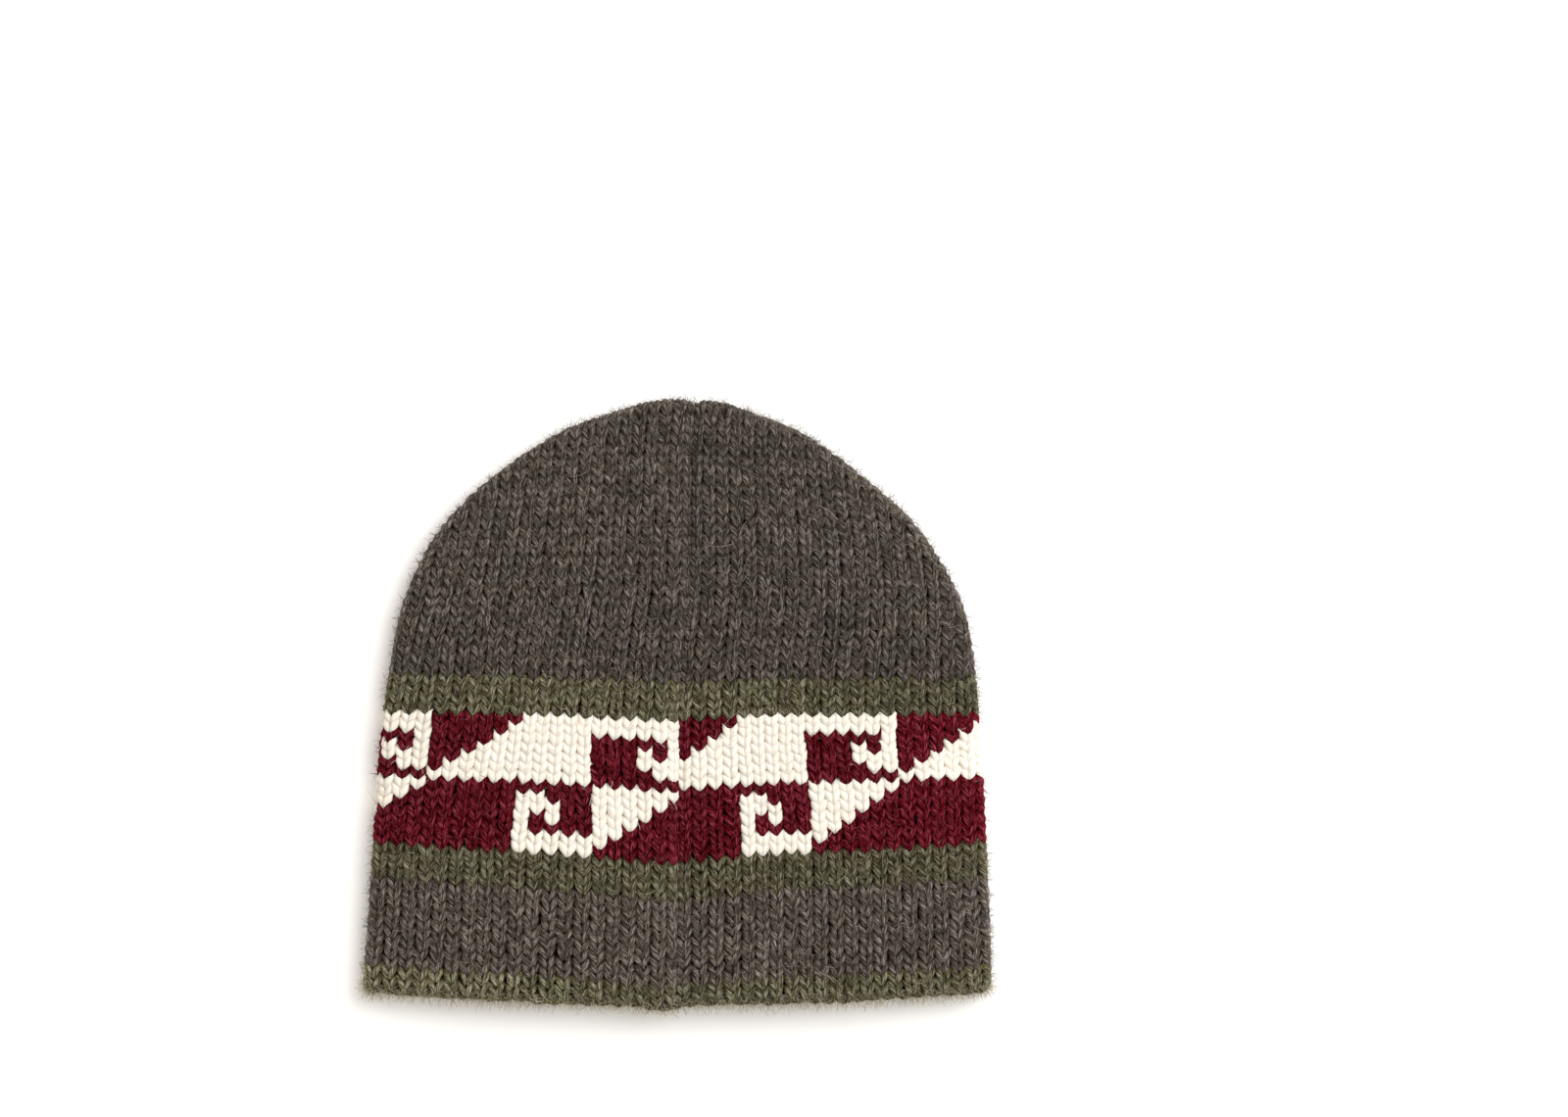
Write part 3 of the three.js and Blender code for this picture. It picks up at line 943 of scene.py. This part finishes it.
def new_tree(name, inputs):
    """A tree with named inputs, with their identifiers, and what it is given."""
    tree = bpy.data.node_groups.new(name, "GeometryNodeTree")
    tree.interface.new_socket(name="Geometry", in_out="INPUT", socket_type="NodeSocketGeometry")
    ids = {}
    for key, (label, kind, default) in inputs.items():
        made = tree.interface.new_socket(name=label, in_out="INPUT", socket_type="NodeSocket" + kind)
        if default is not None:
            made.default_value = default
        ids[key] = made.identifier
    tree.interface.new_socket(name="Geometry", in_out="OUTPUT", socket_type="NodeSocketGeometry")
    return tree, ids, node(tree, "NodeGroupInput").outputs


def finish_tree(tree, geometry, material):
    """Every tree ends the same way: instances realized, smooth, and with its material."""
    real = node(tree, "GeometryNodeRealizeInstances", {"Geometry": geometry}).outputs[0]
    smooth = node(tree, "GeometryNodeSetShadeSmooth", {"Geometry": real}).outputs[0]
    finish = node(tree, "GeometryNodeSetMaterial", {"Geometry": smooth, "Material": material})
    node(tree, "NodeGroupOutput", {"Geometry": finish.outputs[0]})


# Yarn made solid by Geometry Nodes


def in_scene(name, data):
    """A new object in the scene."""
    made = bpy.data.objects.new(name, data)
    bpy.context.scene.collection.objects.link(made)
    return made


def yarn_tree():
    """Sweeps a round section along each path, thicker where the path's plumpness says."""
    tree, ids, given = new_tree("Yarn along a path", {
        "radius": ("Yarn radius", "Float", 0.001),
        "sides": ("Yarn sides", "Int", 6),
        "material": ("Material", "Material", None),
    })
    path = node(tree, "GeometryNodeMeshToCurve", {"Mesh": given["Geometry"]}).outputs["Curve"]
    ring = node(tree, "GeometryNodeCurvePrimitiveCircle", {
        "Radius": given["Yarn radius"], "Resolution": given["Yarn sides"],
    }).outputs["Curve"]
    place = node(tree, "GeometryNodeInputPosition").outputs[0]
    unit = node(tree, "ShaderNodeVectorMath", {0: place}, operation="NORMALIZE").outputs[0]
    keep = node(tree, "GeometryNodeCaptureAttribute")
    keep.capture_items.new("VECTOR", "around")
    tree.links.new(ring, keep.inputs["Geometry"])
    tree.links.new(unit, keep.inputs["around"])
    sweep = node(tree, "GeometryNodeCurveToMesh", {
        "Curve": path, "Profile Curve": keep.outputs["Geometry"], "Fill Caps": True,
        "Scale": named(tree, "plump", "FLOAT"),
    }).outputs["Mesh"]
    mesh = store(tree, sweep, "around", "FLOAT_VECTOR", keep.outputs["around"])
    finish_tree(tree, mesh, given["Material"])
    return tree, ids


def path_object(name, strands):
    """A mesh of bare paths, one for each strand, with what the yarn needs to know at each point."""
    mesh = bpy.data.meshes.new(name)
    edges = []
    first = 0
    for yarn in strands:
        last = first + len(yarn["places"]) - 1
        edges += [(point, point + 1) for point in range(first, last)]
        first = last + 1
    places = np.concatenate([yarn["places"] for yarn in strands]) * MM
    mesh.from_pydata(places.tolist(), edges, [])
    for key in ("plump", "along", "tone", "front", "shade"):
        values = np.concatenate([yarn[key] for yarn in strands]).astype(np.float32)
        mesh.attributes.new(key, "FLOAT", "POINT").data.foreach_set("value", values)
    outward = np.concatenate([yarn["outward"] for yarn in strands]).astype(np.float32)
    mesh.attributes.new("outward", "FLOAT_VECTOR", "POINT").data.foreach_set("vector", outward.ravel())
    return in_scene(name, mesh)


def grown(base, tree, ids, values, name, wool_name):
    """Runs a tree on a base object and keeps the result as a plain mesh: one piece of the cap."""
    modifier = base.modifiers.new("make", "NODES")
    modifier.node_group = tree
    for key, value in values.items():
        modifier[ids[key]] = value
    graph = bpy.context.evaluated_depsgraph_get()
    mesh = bpy.data.meshes.new_from_object(
        base.evaluated_get(graph), preserve_all_data_layers=True, depsgraph=graph
    )
    mesh.name = name
    mesh.materials.clear()
    mesh.materials.append(values["material"])
    base.modifiers.remove(modifier)
    bpy.data.objects.remove(base)
    piece = in_scene(name, mesh)
    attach(piece, BODY)
    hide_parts(NODE)


def knit(context, name, strands, wool_name, under=False):
    """Makes one piece of the cap from its strands."""
    sizes = context.scene.beanie_sizes
    plump = wool_name == "cream"
    sides_seen = sizes.plump_sides if plump else sizes.yarn_sides
    values = {
        "radius": sizes.plump_radius if plump else sizes.yarn_radius,
        "sides": sizes.under_sides if under else sides_seen,
        "material": wool(context, wool_name),
    }
    grown(path_object(name + "_path", strands), *yarn_tree(), values, name, wool_name)


def knit_section(context, name, wool_name):
    """Knits a plain section in one colour."""
    strands = [row_strand(loops(row, context.scene.beanie_sizes)) for row in section_rows(name)]
    knit(context, name, strands, wool_name)


# Wool


def attribute(tree, name, outlet="Fac"):
    """A named attribute, in a material."""
    return node(tree, "ShaderNodeAttribute", attribute_name=name).outputs[outlet]


def noise(tree, vector, scale, detail, roughness):
    """A smooth random pattern."""
    inputs = {"Vector": vector, "Scale": scale, "Detail": detail, "Roughness": roughness}
    return node(tree, "ShaderNodeTexNoise", inputs).outputs["Fac"]


def patches(tree, scale, detail, roughness):
    """A random pattern that stays in its place on the cap."""
    return noise(tree, node(tree, "ShaderNodeTexCoord").outputs["Object"], scale, detail, roughness)


def ramp(tree, value, stops):
    """A colour from a value, through three stops of place and colour."""
    made = node(tree, "ShaderNodeValToRGB", {"Fac": value})
    elements = made.color_ramp.elements
    elements.new(0.5)
    for element, (place, shade) in zip(elements, stops):
        element.position = place
        element.color = (*shade, 1)
    return made.outputs["Color"]


def tinted_by(tree, amount, shade, tint):
    """A colour multiplied by another, by some amount."""
    if isinstance(tint, tuple):
        tint = (*tint, 1)
    inputs = {0: amount, 6: shade, 7: tint}
    return node(tree, "ShaderNodeMix", inputs, data_type="RGBA", blend_type="MULTIPLY").outputs[2]


def scaled(shade, factor):
    """A colour multiplied by a number, or by one number for each channel."""
    factors = factor if isinstance(factor, tuple) else (factor,) * 3
    return tuple(min(1.0, channel * f) for channel, f in zip(shade, factors))


def twisted(tree):
    """A place round the yarn, turned with its twist so that fibres follow it, and one along it."""
    along = attribute(tree, "along")
    angle = maths(tree, "MULTIPLY", along, 2 * math.pi / TWIST_PITCH)
    inputs = {"Vector": attribute(tree, "around", "Vector"), "Angle": angle}
    turn = node(tree, "ShaderNodeVectorRotate", inputs, rotation_type="Z_AXIS")
    return turn.outputs["Vector"], along


def facing(tree):
    """How a place on the yarn faces: out of the cap as 1 and into it as -1, and how squarely.

    The second value is 1 on a crest of the outer or inner side, or where it faces up, and 0 at the
    yarn's sides.
    """
    normal = node(tree, "ShaderNodeNewGeometry").outputs["Normal"]
    outwards = dot(tree, normal, attribute(tree, "outward", "Vector"))
    side = range_map(tree, outwards, -0.35, 0.05, -1.0, 1.0)
    return side, maths(tree, "MAXIMUM", maths(tree, "ABSOLUTE", outwards), split(tree, normal)[2])


def fibre_pattern(tree, around, along):
    """Coarse and fine fibres, drawn out along the yarn."""
    x, y, _ = split(tree, around)
    layers = []
    for stretch, scale, roughness, strength in FIBRE_LAYERS:
        place = vector_of(tree, x, y, maths(tree, "MULTIPLY", along, stretch))
        layers.append(maths(tree, "MULTIPLY", noise(tree, place, scale, 2.0, roughness), strength))
    return maths(tree, "ADD", *layers)


def ply_pattern(tree, around):
    """The plies round the yarn: 1 on a crest and -1 between two."""
    x, y, _ = split(tree, around)
    return maths(tree, "COSINE", maths(tree, "MULTIPLY", maths(tree, "ARCTAN2", y, x), PLIES))


def yarn_colour(tree, look, shade, fibres):
    """A yarn's heathered colour, with its tinted stretches, uneven tones, and the shade along its rows: the
    sections' lighter or darker tones, painted light at the folds and the cast-on edge, painted shade in the
    seam's groove.
    """
    mixture = [scaled(shade, share) for share in (look["dark"], USUAL_FIBRE, look["light"])]
    heather = ramp(tree, fibres, zip(FIBRE_STOPS, mixture))
    patch = range_map(tree, patches(tree, PATCH_SCALE, 2.0, 0.6), 0.45, 0.62, 0, 1)
    tinted = tinted_by(tree, patch, heather, look["tint"])
    tone = range_map(tree, attribute(tree, "tone"), 0, 1, 1 - look["tone"], 1 + look["tone"])
    # The shade attribute scales the colour: painted light at the folds and the cast-on edge, painted shade
    # in the seam's groove, and the sections' tones
    painted_light_and_tone_factor = range_map(tree, attribute(tree, "shade"), 0, 4, 1 - look["painted_light_and_tone"], 1 + 3 * look["painted_light_and_tone"])
    return tinted_by(tree, 1.0, tinted, maths(tree, "MULTIPLY", tone, painted_light_and_tone_factor))


def hollows(tree, look, plies):
    """Painted shade: darker behind the stitches in front, at the yarn's sides and between its plies, fading
    through the painted shade tint.
    """
    side, squarely = facing(tree)
    forward = maths(tree, "MULTIPLY", attribute(tree, "front"), side)
    between = range_map(tree, forward, *look["behind"], look["hollow"], 1.0)
    crest = range_map(tree, squarely, 0.2, 0.85, look["sides"], 1.0)
    groove = range_map(tree, plies, -1.0, -0.2, 1 - 0.5 * look["ply"], 1.0)
    depth = maths(tree, "MULTIPLY", maths(tree, "MULTIPLY", between, crest), groove)
    return ramp(tree, depth, ((0.0, (0, 0, 0)), (0.5, look["painted_shade_tint"]), (1.0, (1, 1, 1))))


def new_material(name, settings):
    """A material with its tree and its shader, some of whose inputs are set."""
    material = bpy.data.materials.new(name)
    material.use_nodes = True
    shader = material.node_tree.nodes["Principled BSDF"]
    for key, value in settings.items():
        shader.inputs[key].default_value = value
    return material, material.node_tree, shader


def plain_wool(name, shade, sheen, glow=0.0):
    """A matt, slightly downy material that is ready for its colours. With a glow, light goes into it."""
    settings = {
        "Base Color": (*shade, 1), "Roughness": 0.95, "Specular IOR Level": 0.02,
        "Sheen Weight": sheen, "Sheen Roughness": 0.5,
    }
    if glow:
        settings["Subsurface Weight"] = glow
        settings["Subsurface Radius"] = (1.0, 0.8, 0.6)
        settings["Subsurface Scale"] = GLOW_DEPTH * MM
    return new_material(name, settings)


def wool(context, name):
    """The material of one yarn: heathered fibres that follow the twist, with plies between them."""
    if name + " wool" in bpy.data.materials:
        return bpy.data.materials[name + " wool"]
    look = WOOLS[name]
    shade = tuple(getattr(context.scene.beanie_colours, name))
    material, tree, shader = plain_wool(name + " wool", shade, look["sheen"], look["glow"])
    around, along = twisted(tree)
    fibres = fibre_pattern(tree, around, along)
    plies = ply_pattern(tree, around)
    # The heathered colour times the painted shade behind the stitches, at the yarn's sides and between its
    # plies
    final = tinted_by(tree, 1.0, yarn_colour(tree, look, shade, fibres), hollows(tree, look, plies))
    ply_height = maths(tree, "MULTIPLY", plies, PLY_RELIEF * look["ply"])
    fibre_height = maths(tree, "MULTIPLY", fibres, FIBRE_RELIEF * look["fibre"])
    height = maths(tree, "ADD", ply_height, fibre_height)
    bump = node(tree, "ShaderNodeBump", {"Strength": 0.8, "Distance": RELIEF * MM, "Height": height})
    tree.links.new(final, shader.inputs["Base Color"])
    tree.links.new(bump.outputs["Normal"], shader.inputs["Normal"])
    return material


def fibre_wool(context, name):
    """The material of loose fibres of some tones: each fibre is of one tone."""
    if name + " fibres" in bpy.data.materials:
        return bpy.data.materials[name + " fibres"]
    wool_name, dark, light = FIBRE_TONES[name]
    shade = tuple(getattr(context.scene.beanie_colours, wool_name))
    material, tree, shader = plain_wool(name + " fibres", shade, FIBRE_SHEEN)
    middle = tuple((a + b) / 2.6 for a, b in zip(dark, light))   # a little darker than half way
    own = ramp(tree, attribute(tree, "tone"), (
        (0.0, scaled(shade, dark)),
        (0.55, scaled(shade, middle)),
        (1.0, scaled(shade, light)),
    ))
    patch = range_map(tree, patches(tree, 600.0, 1.0, 0.5), 0.3, 0.7, 0.85, 1.15)
    tree.links.new(tinted_by(tree, 1.0, own, patch), shader.inputs["Base Color"])
    return material


# Loose fibres that stand off the yarn, scattered by Geometry Nodes


def fibre_shape(tree, given, bends, steps):
    """One shape of fibre, as a thin tapered tube along a bent line."""
    places = [
        node(tree, "ShaderNodeVectorMath", {0: place, "Scale": given["Fibre length"]}, operation="SCALE")
        for place in ((0, 0, FIBRE_ROOT), *bends)
    ]
    start, middle, end = (place.outputs[0] for place in places)
    line = node(tree, "GeometryNodeCurveQuadraticBezier", {
        "Resolution": steps, "Start": start, "Middle": middle, "End": end,
    })
    ring = node(tree, "GeometryNodeCurvePrimitiveCircle", {
        "Resolution": FIBRE_SIDES, "Radius": given["Fibre radius"],
    })
    along = node(tree, "GeometryNodeSplineParameter").outputs["Factor"]
    sweep = node(tree, "GeometryNodeCurveToMesh", {
        "Curve": line.outputs["Curve"], "Profile Curve": ring.outputs["Curve"], "Fill Caps": True,
        "Scale": range_map(tree, along, 0.0, 1.0, 1.0, FIBRE_TIP),
    })
    return node(tree, "GeometryNodeGeometryToInstance", {0: sweep.outputs["Mesh"]}).outputs[0]


def random_value(tree, low, high, seed):
    """A random number or vector for each point."""
    vector = isinstance(low, tuple)
    first = 0 if vector else 2
    made = node(
        tree, "FunctionNodeRandomValue", {first: low, first + 1: high, "Seed": seed},
        data_type="FLOAT_VECTOR" if vector else "FLOAT",
    )
    return made.outputs[0 if vector else 1]


def fibre_points(tree, given):
    """Scatters points over the outer side of the yarn, denser at the folds."""
    outward = named(tree, "outward", "FLOAT_VECTOR")
    normal = node(tree, "GeometryNodeInputNormal").outputs[0]
    shell_up = split(tree, outward)[2]
    rules = (
        (dot(tree, normal, outward), given["Facing"]),
        (named(tree, "front", "FLOAT"), FIBRE_LEAST_FRONT),
        (split(tree, normal)[2], FIBRE_LEAST_UP),
        (shell_up, FIBRE_LEAST_SHELL_UP),
    )
    chosen = 1.0
    for value, least in rules:
        chosen = maths(tree, "MULTIPLY", chosen, maths(tree, "GREATER_THAN", value, least))
    upright = maths(tree, "ABSOLUTE", shell_up)
    denser = range_map(tree, upright, 0.75, 0.15, 1.0, given["Denser at the folds"])
    density = maths(tree, "MULTIPLY", given["Fibres each square metre"], denser)
    return node(tree, "GeometryNodeDistributePointsOnFaces", {
        "Mesh": given["Geometry"], "Selection": chosen, "Density": density, "Seed": given["Seed"],
    }).outputs


def above_floor(tree, geometry):
    """Keeps every point above the floor, so that a fibre under the cap lies flat."""
    x, y, z = split(tree, node(tree, "GeometryNodeInputPosition").outputs[0])
    place = vector_of(tree, x, y, maths(tree, "MAXIMUM", z, FIBRE_FLOOR * MM))
    return node(tree, "GeometryNodeSetPosition", {"Geometry": geometry, "Position": place}).outputs[0]


def fuzz_tree(fibre_shapes, steps):
    """Scatters fibres over the yarn it is given, and keeps only the fibres."""
    tree, ids, given = new_tree("Fibres on yarn", {
        "density": ("Fibres each square metre", "Float", 50000.0),
        "radius": ("Fibre radius", "Float", 0.00005),
        "length": ("Fibre length", "Float", 0.004),
        "fold": ("Denser at the folds", "Float", 1.0),
        "facing": ("Facing", "Float", 0.3),
        "seed": ("Seed", "Int", SEED),
        "material": ("Material", "Material", None),
    })
    scatter = fibre_points(tree, given)
    shapes = node(tree, "GeometryNodeJoinGeometry")
    for bends in fibre_shapes:
        tree.links.new(fibre_shape(tree, given, bends, steps), shapes.inputs[0])
    spin = node(tree, "FunctionNodeEulerToRotation", {0: random_value(tree, *FIBRE_LEAN, 1)})
    turn = node(
        tree, "FunctionNodeRotateRotation", {0: scatter["Rotation"], 1: spin.outputs[0]},
        rotation_space="LOCAL",
    )
    plant = node(tree, "GeometryNodeInstanceOnPoints", {
        "Points": scatter["Points"], "Instance": shapes.outputs[0], "Pick Instance": True,
        "Rotation": turn.outputs[0], "Scale": random_value(tree, 0.5, 1.5, 2),
    }).outputs[0]
    toned = store(tree, plant, "tone", "FLOAT", random_value(tree, 0.0, 1.0, 3), "INSTANCE")
    real = node(tree, "GeometryNodeRealizeInstances", {0: toned}).outputs[0]
    finish_tree(tree, above_floor(tree, real), given["Material"])
    return tree, ids


def joined_mesh(names):
    """One mesh of several pieces."""
    joined = bmesh.new()
    for name in names:
        joined.from_mesh(bpy.data.objects[name].data)
    mesh = bpy.data.meshes.new("joined")
    joined.to_mesh(mesh)
    joined.free()
    return mesh


def add_fuzz(context, name, seed):
    """Makes one piece of loose fibres."""
    fuzz = FUZZ[name]
    sizes = context.scene.beanie_sizes
    values = {
        "density": fuzz["each_cm2"] * 1e4,
        "radius": sizes.fibre_radius * fuzz["radius"],
        "length": sizes.fibre_length * fuzz["length"],
        "fold": fuzz["fold"],
        "facing": fuzz["facing"],
        "seed": seed,
        "material": fibre_wool(context, fuzz["tones"]),
    }
    tree, ids = fuzz_tree(fuzz["shapes"], LONG_STEPS if fuzz["length"] > LONG_FIBRE else FIBRE_STEPS)
    base = in_scene(name + "_base", joined_mesh(fuzz["yarns"]))
    grown(base, tree, ids, values, name, FIBRE_TONES[fuzz["tones"]][0])


def add_hairs(context):
    """Makes the piece of single hairs."""
    values = {
        "radius": HAIR_RADIUS * MM, "sides": HAIR_SIDES, "material": fibre_wool(context, "pale grey"),
    }
    path = path_object("single_hairs_path", hair_strands())
    grown(path, *yarn_tree(), values, "single_hairs", "grey")


# Operators, one for each group of pieces


class BEANIE_OT_knit_border(bpy.types.Operator):
    """Knits the green hem with its cast-on edge, and the grey border above it"""

    bl_idname = "beanie.knit_border"
    bl_label = "Knit hem and border"

    def execute(self, context):
        knit_section(context, "hem", "green")
        knit(context, "cast_on_edge", edge_strands(), "green")
        knit_section(context, "border", "grey")
        return {"FINISHED"}


class BEANIE_OT_knit_stripes(bpy.types.Operator):
    """Knits the green stripes below and above the fret band"""

    bl_idname = "beanie.knit_stripes"
    bl_label = "Knit stripes"

    def execute(self, context):
        knit_section(context, "lower_stripe", "green")
        knit_section(context, "upper_stripe", "green")
        return {"FINISHED"}


class BEANIE_OT_knit_fret_band(bpy.types.Operator):
    """Knits the stepped frets in cream on dark red, with the idle yarn carried inside"""

    bl_idname = "beanie.knit_fret_band"
    bl_label = "Knit fret band"

    def execute(self, context):
        sizes = context.scene.beanie_sizes
        rows = section_rows("fret_band")
        charted = [(row, rows[-1] - row) for row in rows]
        ground = [fret_strand(loops(row, sizes), chart_row, False) for row, chart_row in charted]
        figure = [fret_strand(loops(row, sizes, plump=True), chart_row, True) for row, chart_row in charted]
        knit(context, "fret_ground", ground, "red")
        knit(context, "fret_figure", figure, "cream")
        return {"FINISHED"}


class BEANIE_OT_knit_crown(bpy.types.Operator):
    """Knits the grey crown, in an upper and a lower piece"""

    bl_idname = "beanie.knit_crown"
    bl_label = "Knit crown"

    def execute(self, context):
        top, under = [], []
        for row in section_rows("crown"):
            made = loops(row, context.scene.beanie_sizes)
            below = np.flatnonzero(~made["upper"])
            top.append(row_strand(made, slice(None, below[0]), last_tail=False))
            top.append(row_strand(made, slice(below[-1] + 1, None), first_tail=False))
            under.append(row_strand(made, below, first_tail=False, last_tail=False))
        knit(context, "crown_upper", top, "grey")
        knit(context, "crown_under", under, "grey", under=True)
        return {"FINISHED"}


class BEANIE_OT_add_fuzz(bpy.types.Operator):
    """Adds the loose fibres that stand off each yarn"""

    bl_idname = "beanie.add_fuzz"
    bl_label = "Add loose fibres"

    def execute(self, context):
        for seed, name in enumerate(FUZZ):
            add_fuzz(context, name, seed + 1)
        add_hairs(context)
        return {"FINISHED"}


class BEANIE_OT_set_stage(bpy.types.Operator):
    """Adds the floor, the light and the camera"""

    bl_idname = "beanie.set_stage"
    bl_label = "Set stage"

    def execute(self, context):
        stage = context.scene.beanie_stage
        make_floor(stage)
        make_key_light(stage)
        make_sky(context, stage)
        make_camera(context, stage)
        context.scene.view_settings.view_transform = "Standard"
        context.scene.view_settings.look = "None"
        return {"FINISHED"}


def make_floor(stage):
    """A pale matt floor, far wider than the view."""
    mesh = bpy.data.meshes.new("floor")
    signs = ((-1, -1), (1, -1), (1, 1), (-1, 1))
    mesh.from_pydata([(x * FLOOR_REACH, y * FLOOR_REACH, 0) for x, y in signs], [], [(0, 1, 2, 3)])
    floor = in_scene("floor", mesh)
    material, _, _ = new_material("pale floor", {
        "Base Color": FLOOR_SHADE, "Roughness": 0.9, "Specular IOR Level": 0.1,
        "Emission Color": SKY_TINT, "Emission Strength": stage.floor_glow,
    })
    mesh.materials.append(material)


def make_key_light(stage):
    """A wide soft light above the cap, from the crown's right."""
    data = bpy.data.lights.new("key light", "AREA")
    data.shape = "DISK"
    data.size = KEY_WIDTH
    data.energy = stage.key_power
    data.color = KEY_TINT
    light = in_scene("key light", data)
    light.location = KEY_PLACE
    light.rotation_euler = (-Vector(KEY_PLACE)).to_track_quat("-Z", "Y").to_euler()


def make_sky(context, stage):
    """Even, slightly warm light from all round."""
    if context.scene.world is None:
        context.scene.world = bpy.data.worlds.new("studio")
    context.scene.world.use_nodes = True
    background = context.scene.world.node_tree.nodes["Background"]
    background.inputs["Color"].default_value = SKY_TINT
    background.inputs["Strength"].default_value = stage.sky


def make_camera(context, stage):
    """A camera straight above, a little right of the cap and towards its crown."""
    data = bpy.data.cameras.new("camera")
    data.sensor_width = 36.0
    data.lens = data.sensor_width * (stage.view_height - FOLD_RADIUS * MM) / stage.view_width
    data.clip_start = 0.05
    data.clip_end = 20.0
    camera = in_scene("camera", data)
    camera.location = (stage.view_right, stage.view_up, stage.view_height)
    context.scene.camera = camera


class BEANIE_PT_panel(bpy.types.Panel):
    """Lists what makes the cap and its stage"""

    bl_label = "Knitted beanie"
    bl_idname = "BEANIE_PT_panel"
    bl_space_type = "VIEW_3D"
    bl_region_type = "UI"
    bl_category = "Beanie"

    def draw(self, context):
        for _, name in GROUPS:
            group = getattr(context.scene, name)
            for key in group.__annotations__:
                self.layout.prop(group, key)
        for operator in OPERATORS:
            self.layout.operator(operator.bl_idname)


OPERATORS = (
    BEANIE_OT_knit_border,
    BEANIE_OT_knit_stripes,
    BEANIE_OT_knit_fret_band,
    BEANIE_OT_knit_crown,
    BEANIE_OT_add_fuzz,
    BEANIE_OT_set_stage,
)
GROUPS = (
    (BeanieSizes, "beanie_sizes"),
    (BeanieColours, "beanie_colours"),
    (BeanieStage, "beanie_stage"),
)


def register():
    """Makes the properties, the operators and the panel known to Blender."""
    for group, name in GROUPS:
        bpy.utils.register_class(group)
        setattr(bpy.types.Scene, name, bpy.props.PointerProperty(type=group))
    for operator in OPERATORS:
        bpy.utils.register_class(operator)
    bpy.utils.register_class(BEANIE_PT_panel)


def unregister():
    """Takes them out again."""
    bpy.utils.unregister_class(BEANIE_PT_panel)
    for operator in reversed(OPERATORS):
        bpy.utils.unregister_class(operator)
    for group, name in reversed(GROUPS):
        delattr(bpy.types.Scene, name)
        bpy.utils.unregister_class(group)


def main():
    """Makes the cap and its stage."""
    register()
    bpy.ops.beanie.knit_border()
    bpy.ops.beanie.knit_stripes()
    bpy.ops.beanie.knit_fret_band()
    bpy.ops.beanie.knit_crown()
    bpy.ops.beanie.add_fuzz()
    bpy.ops.beanie.set_stage()


if __name__ == "__main__":
    main()
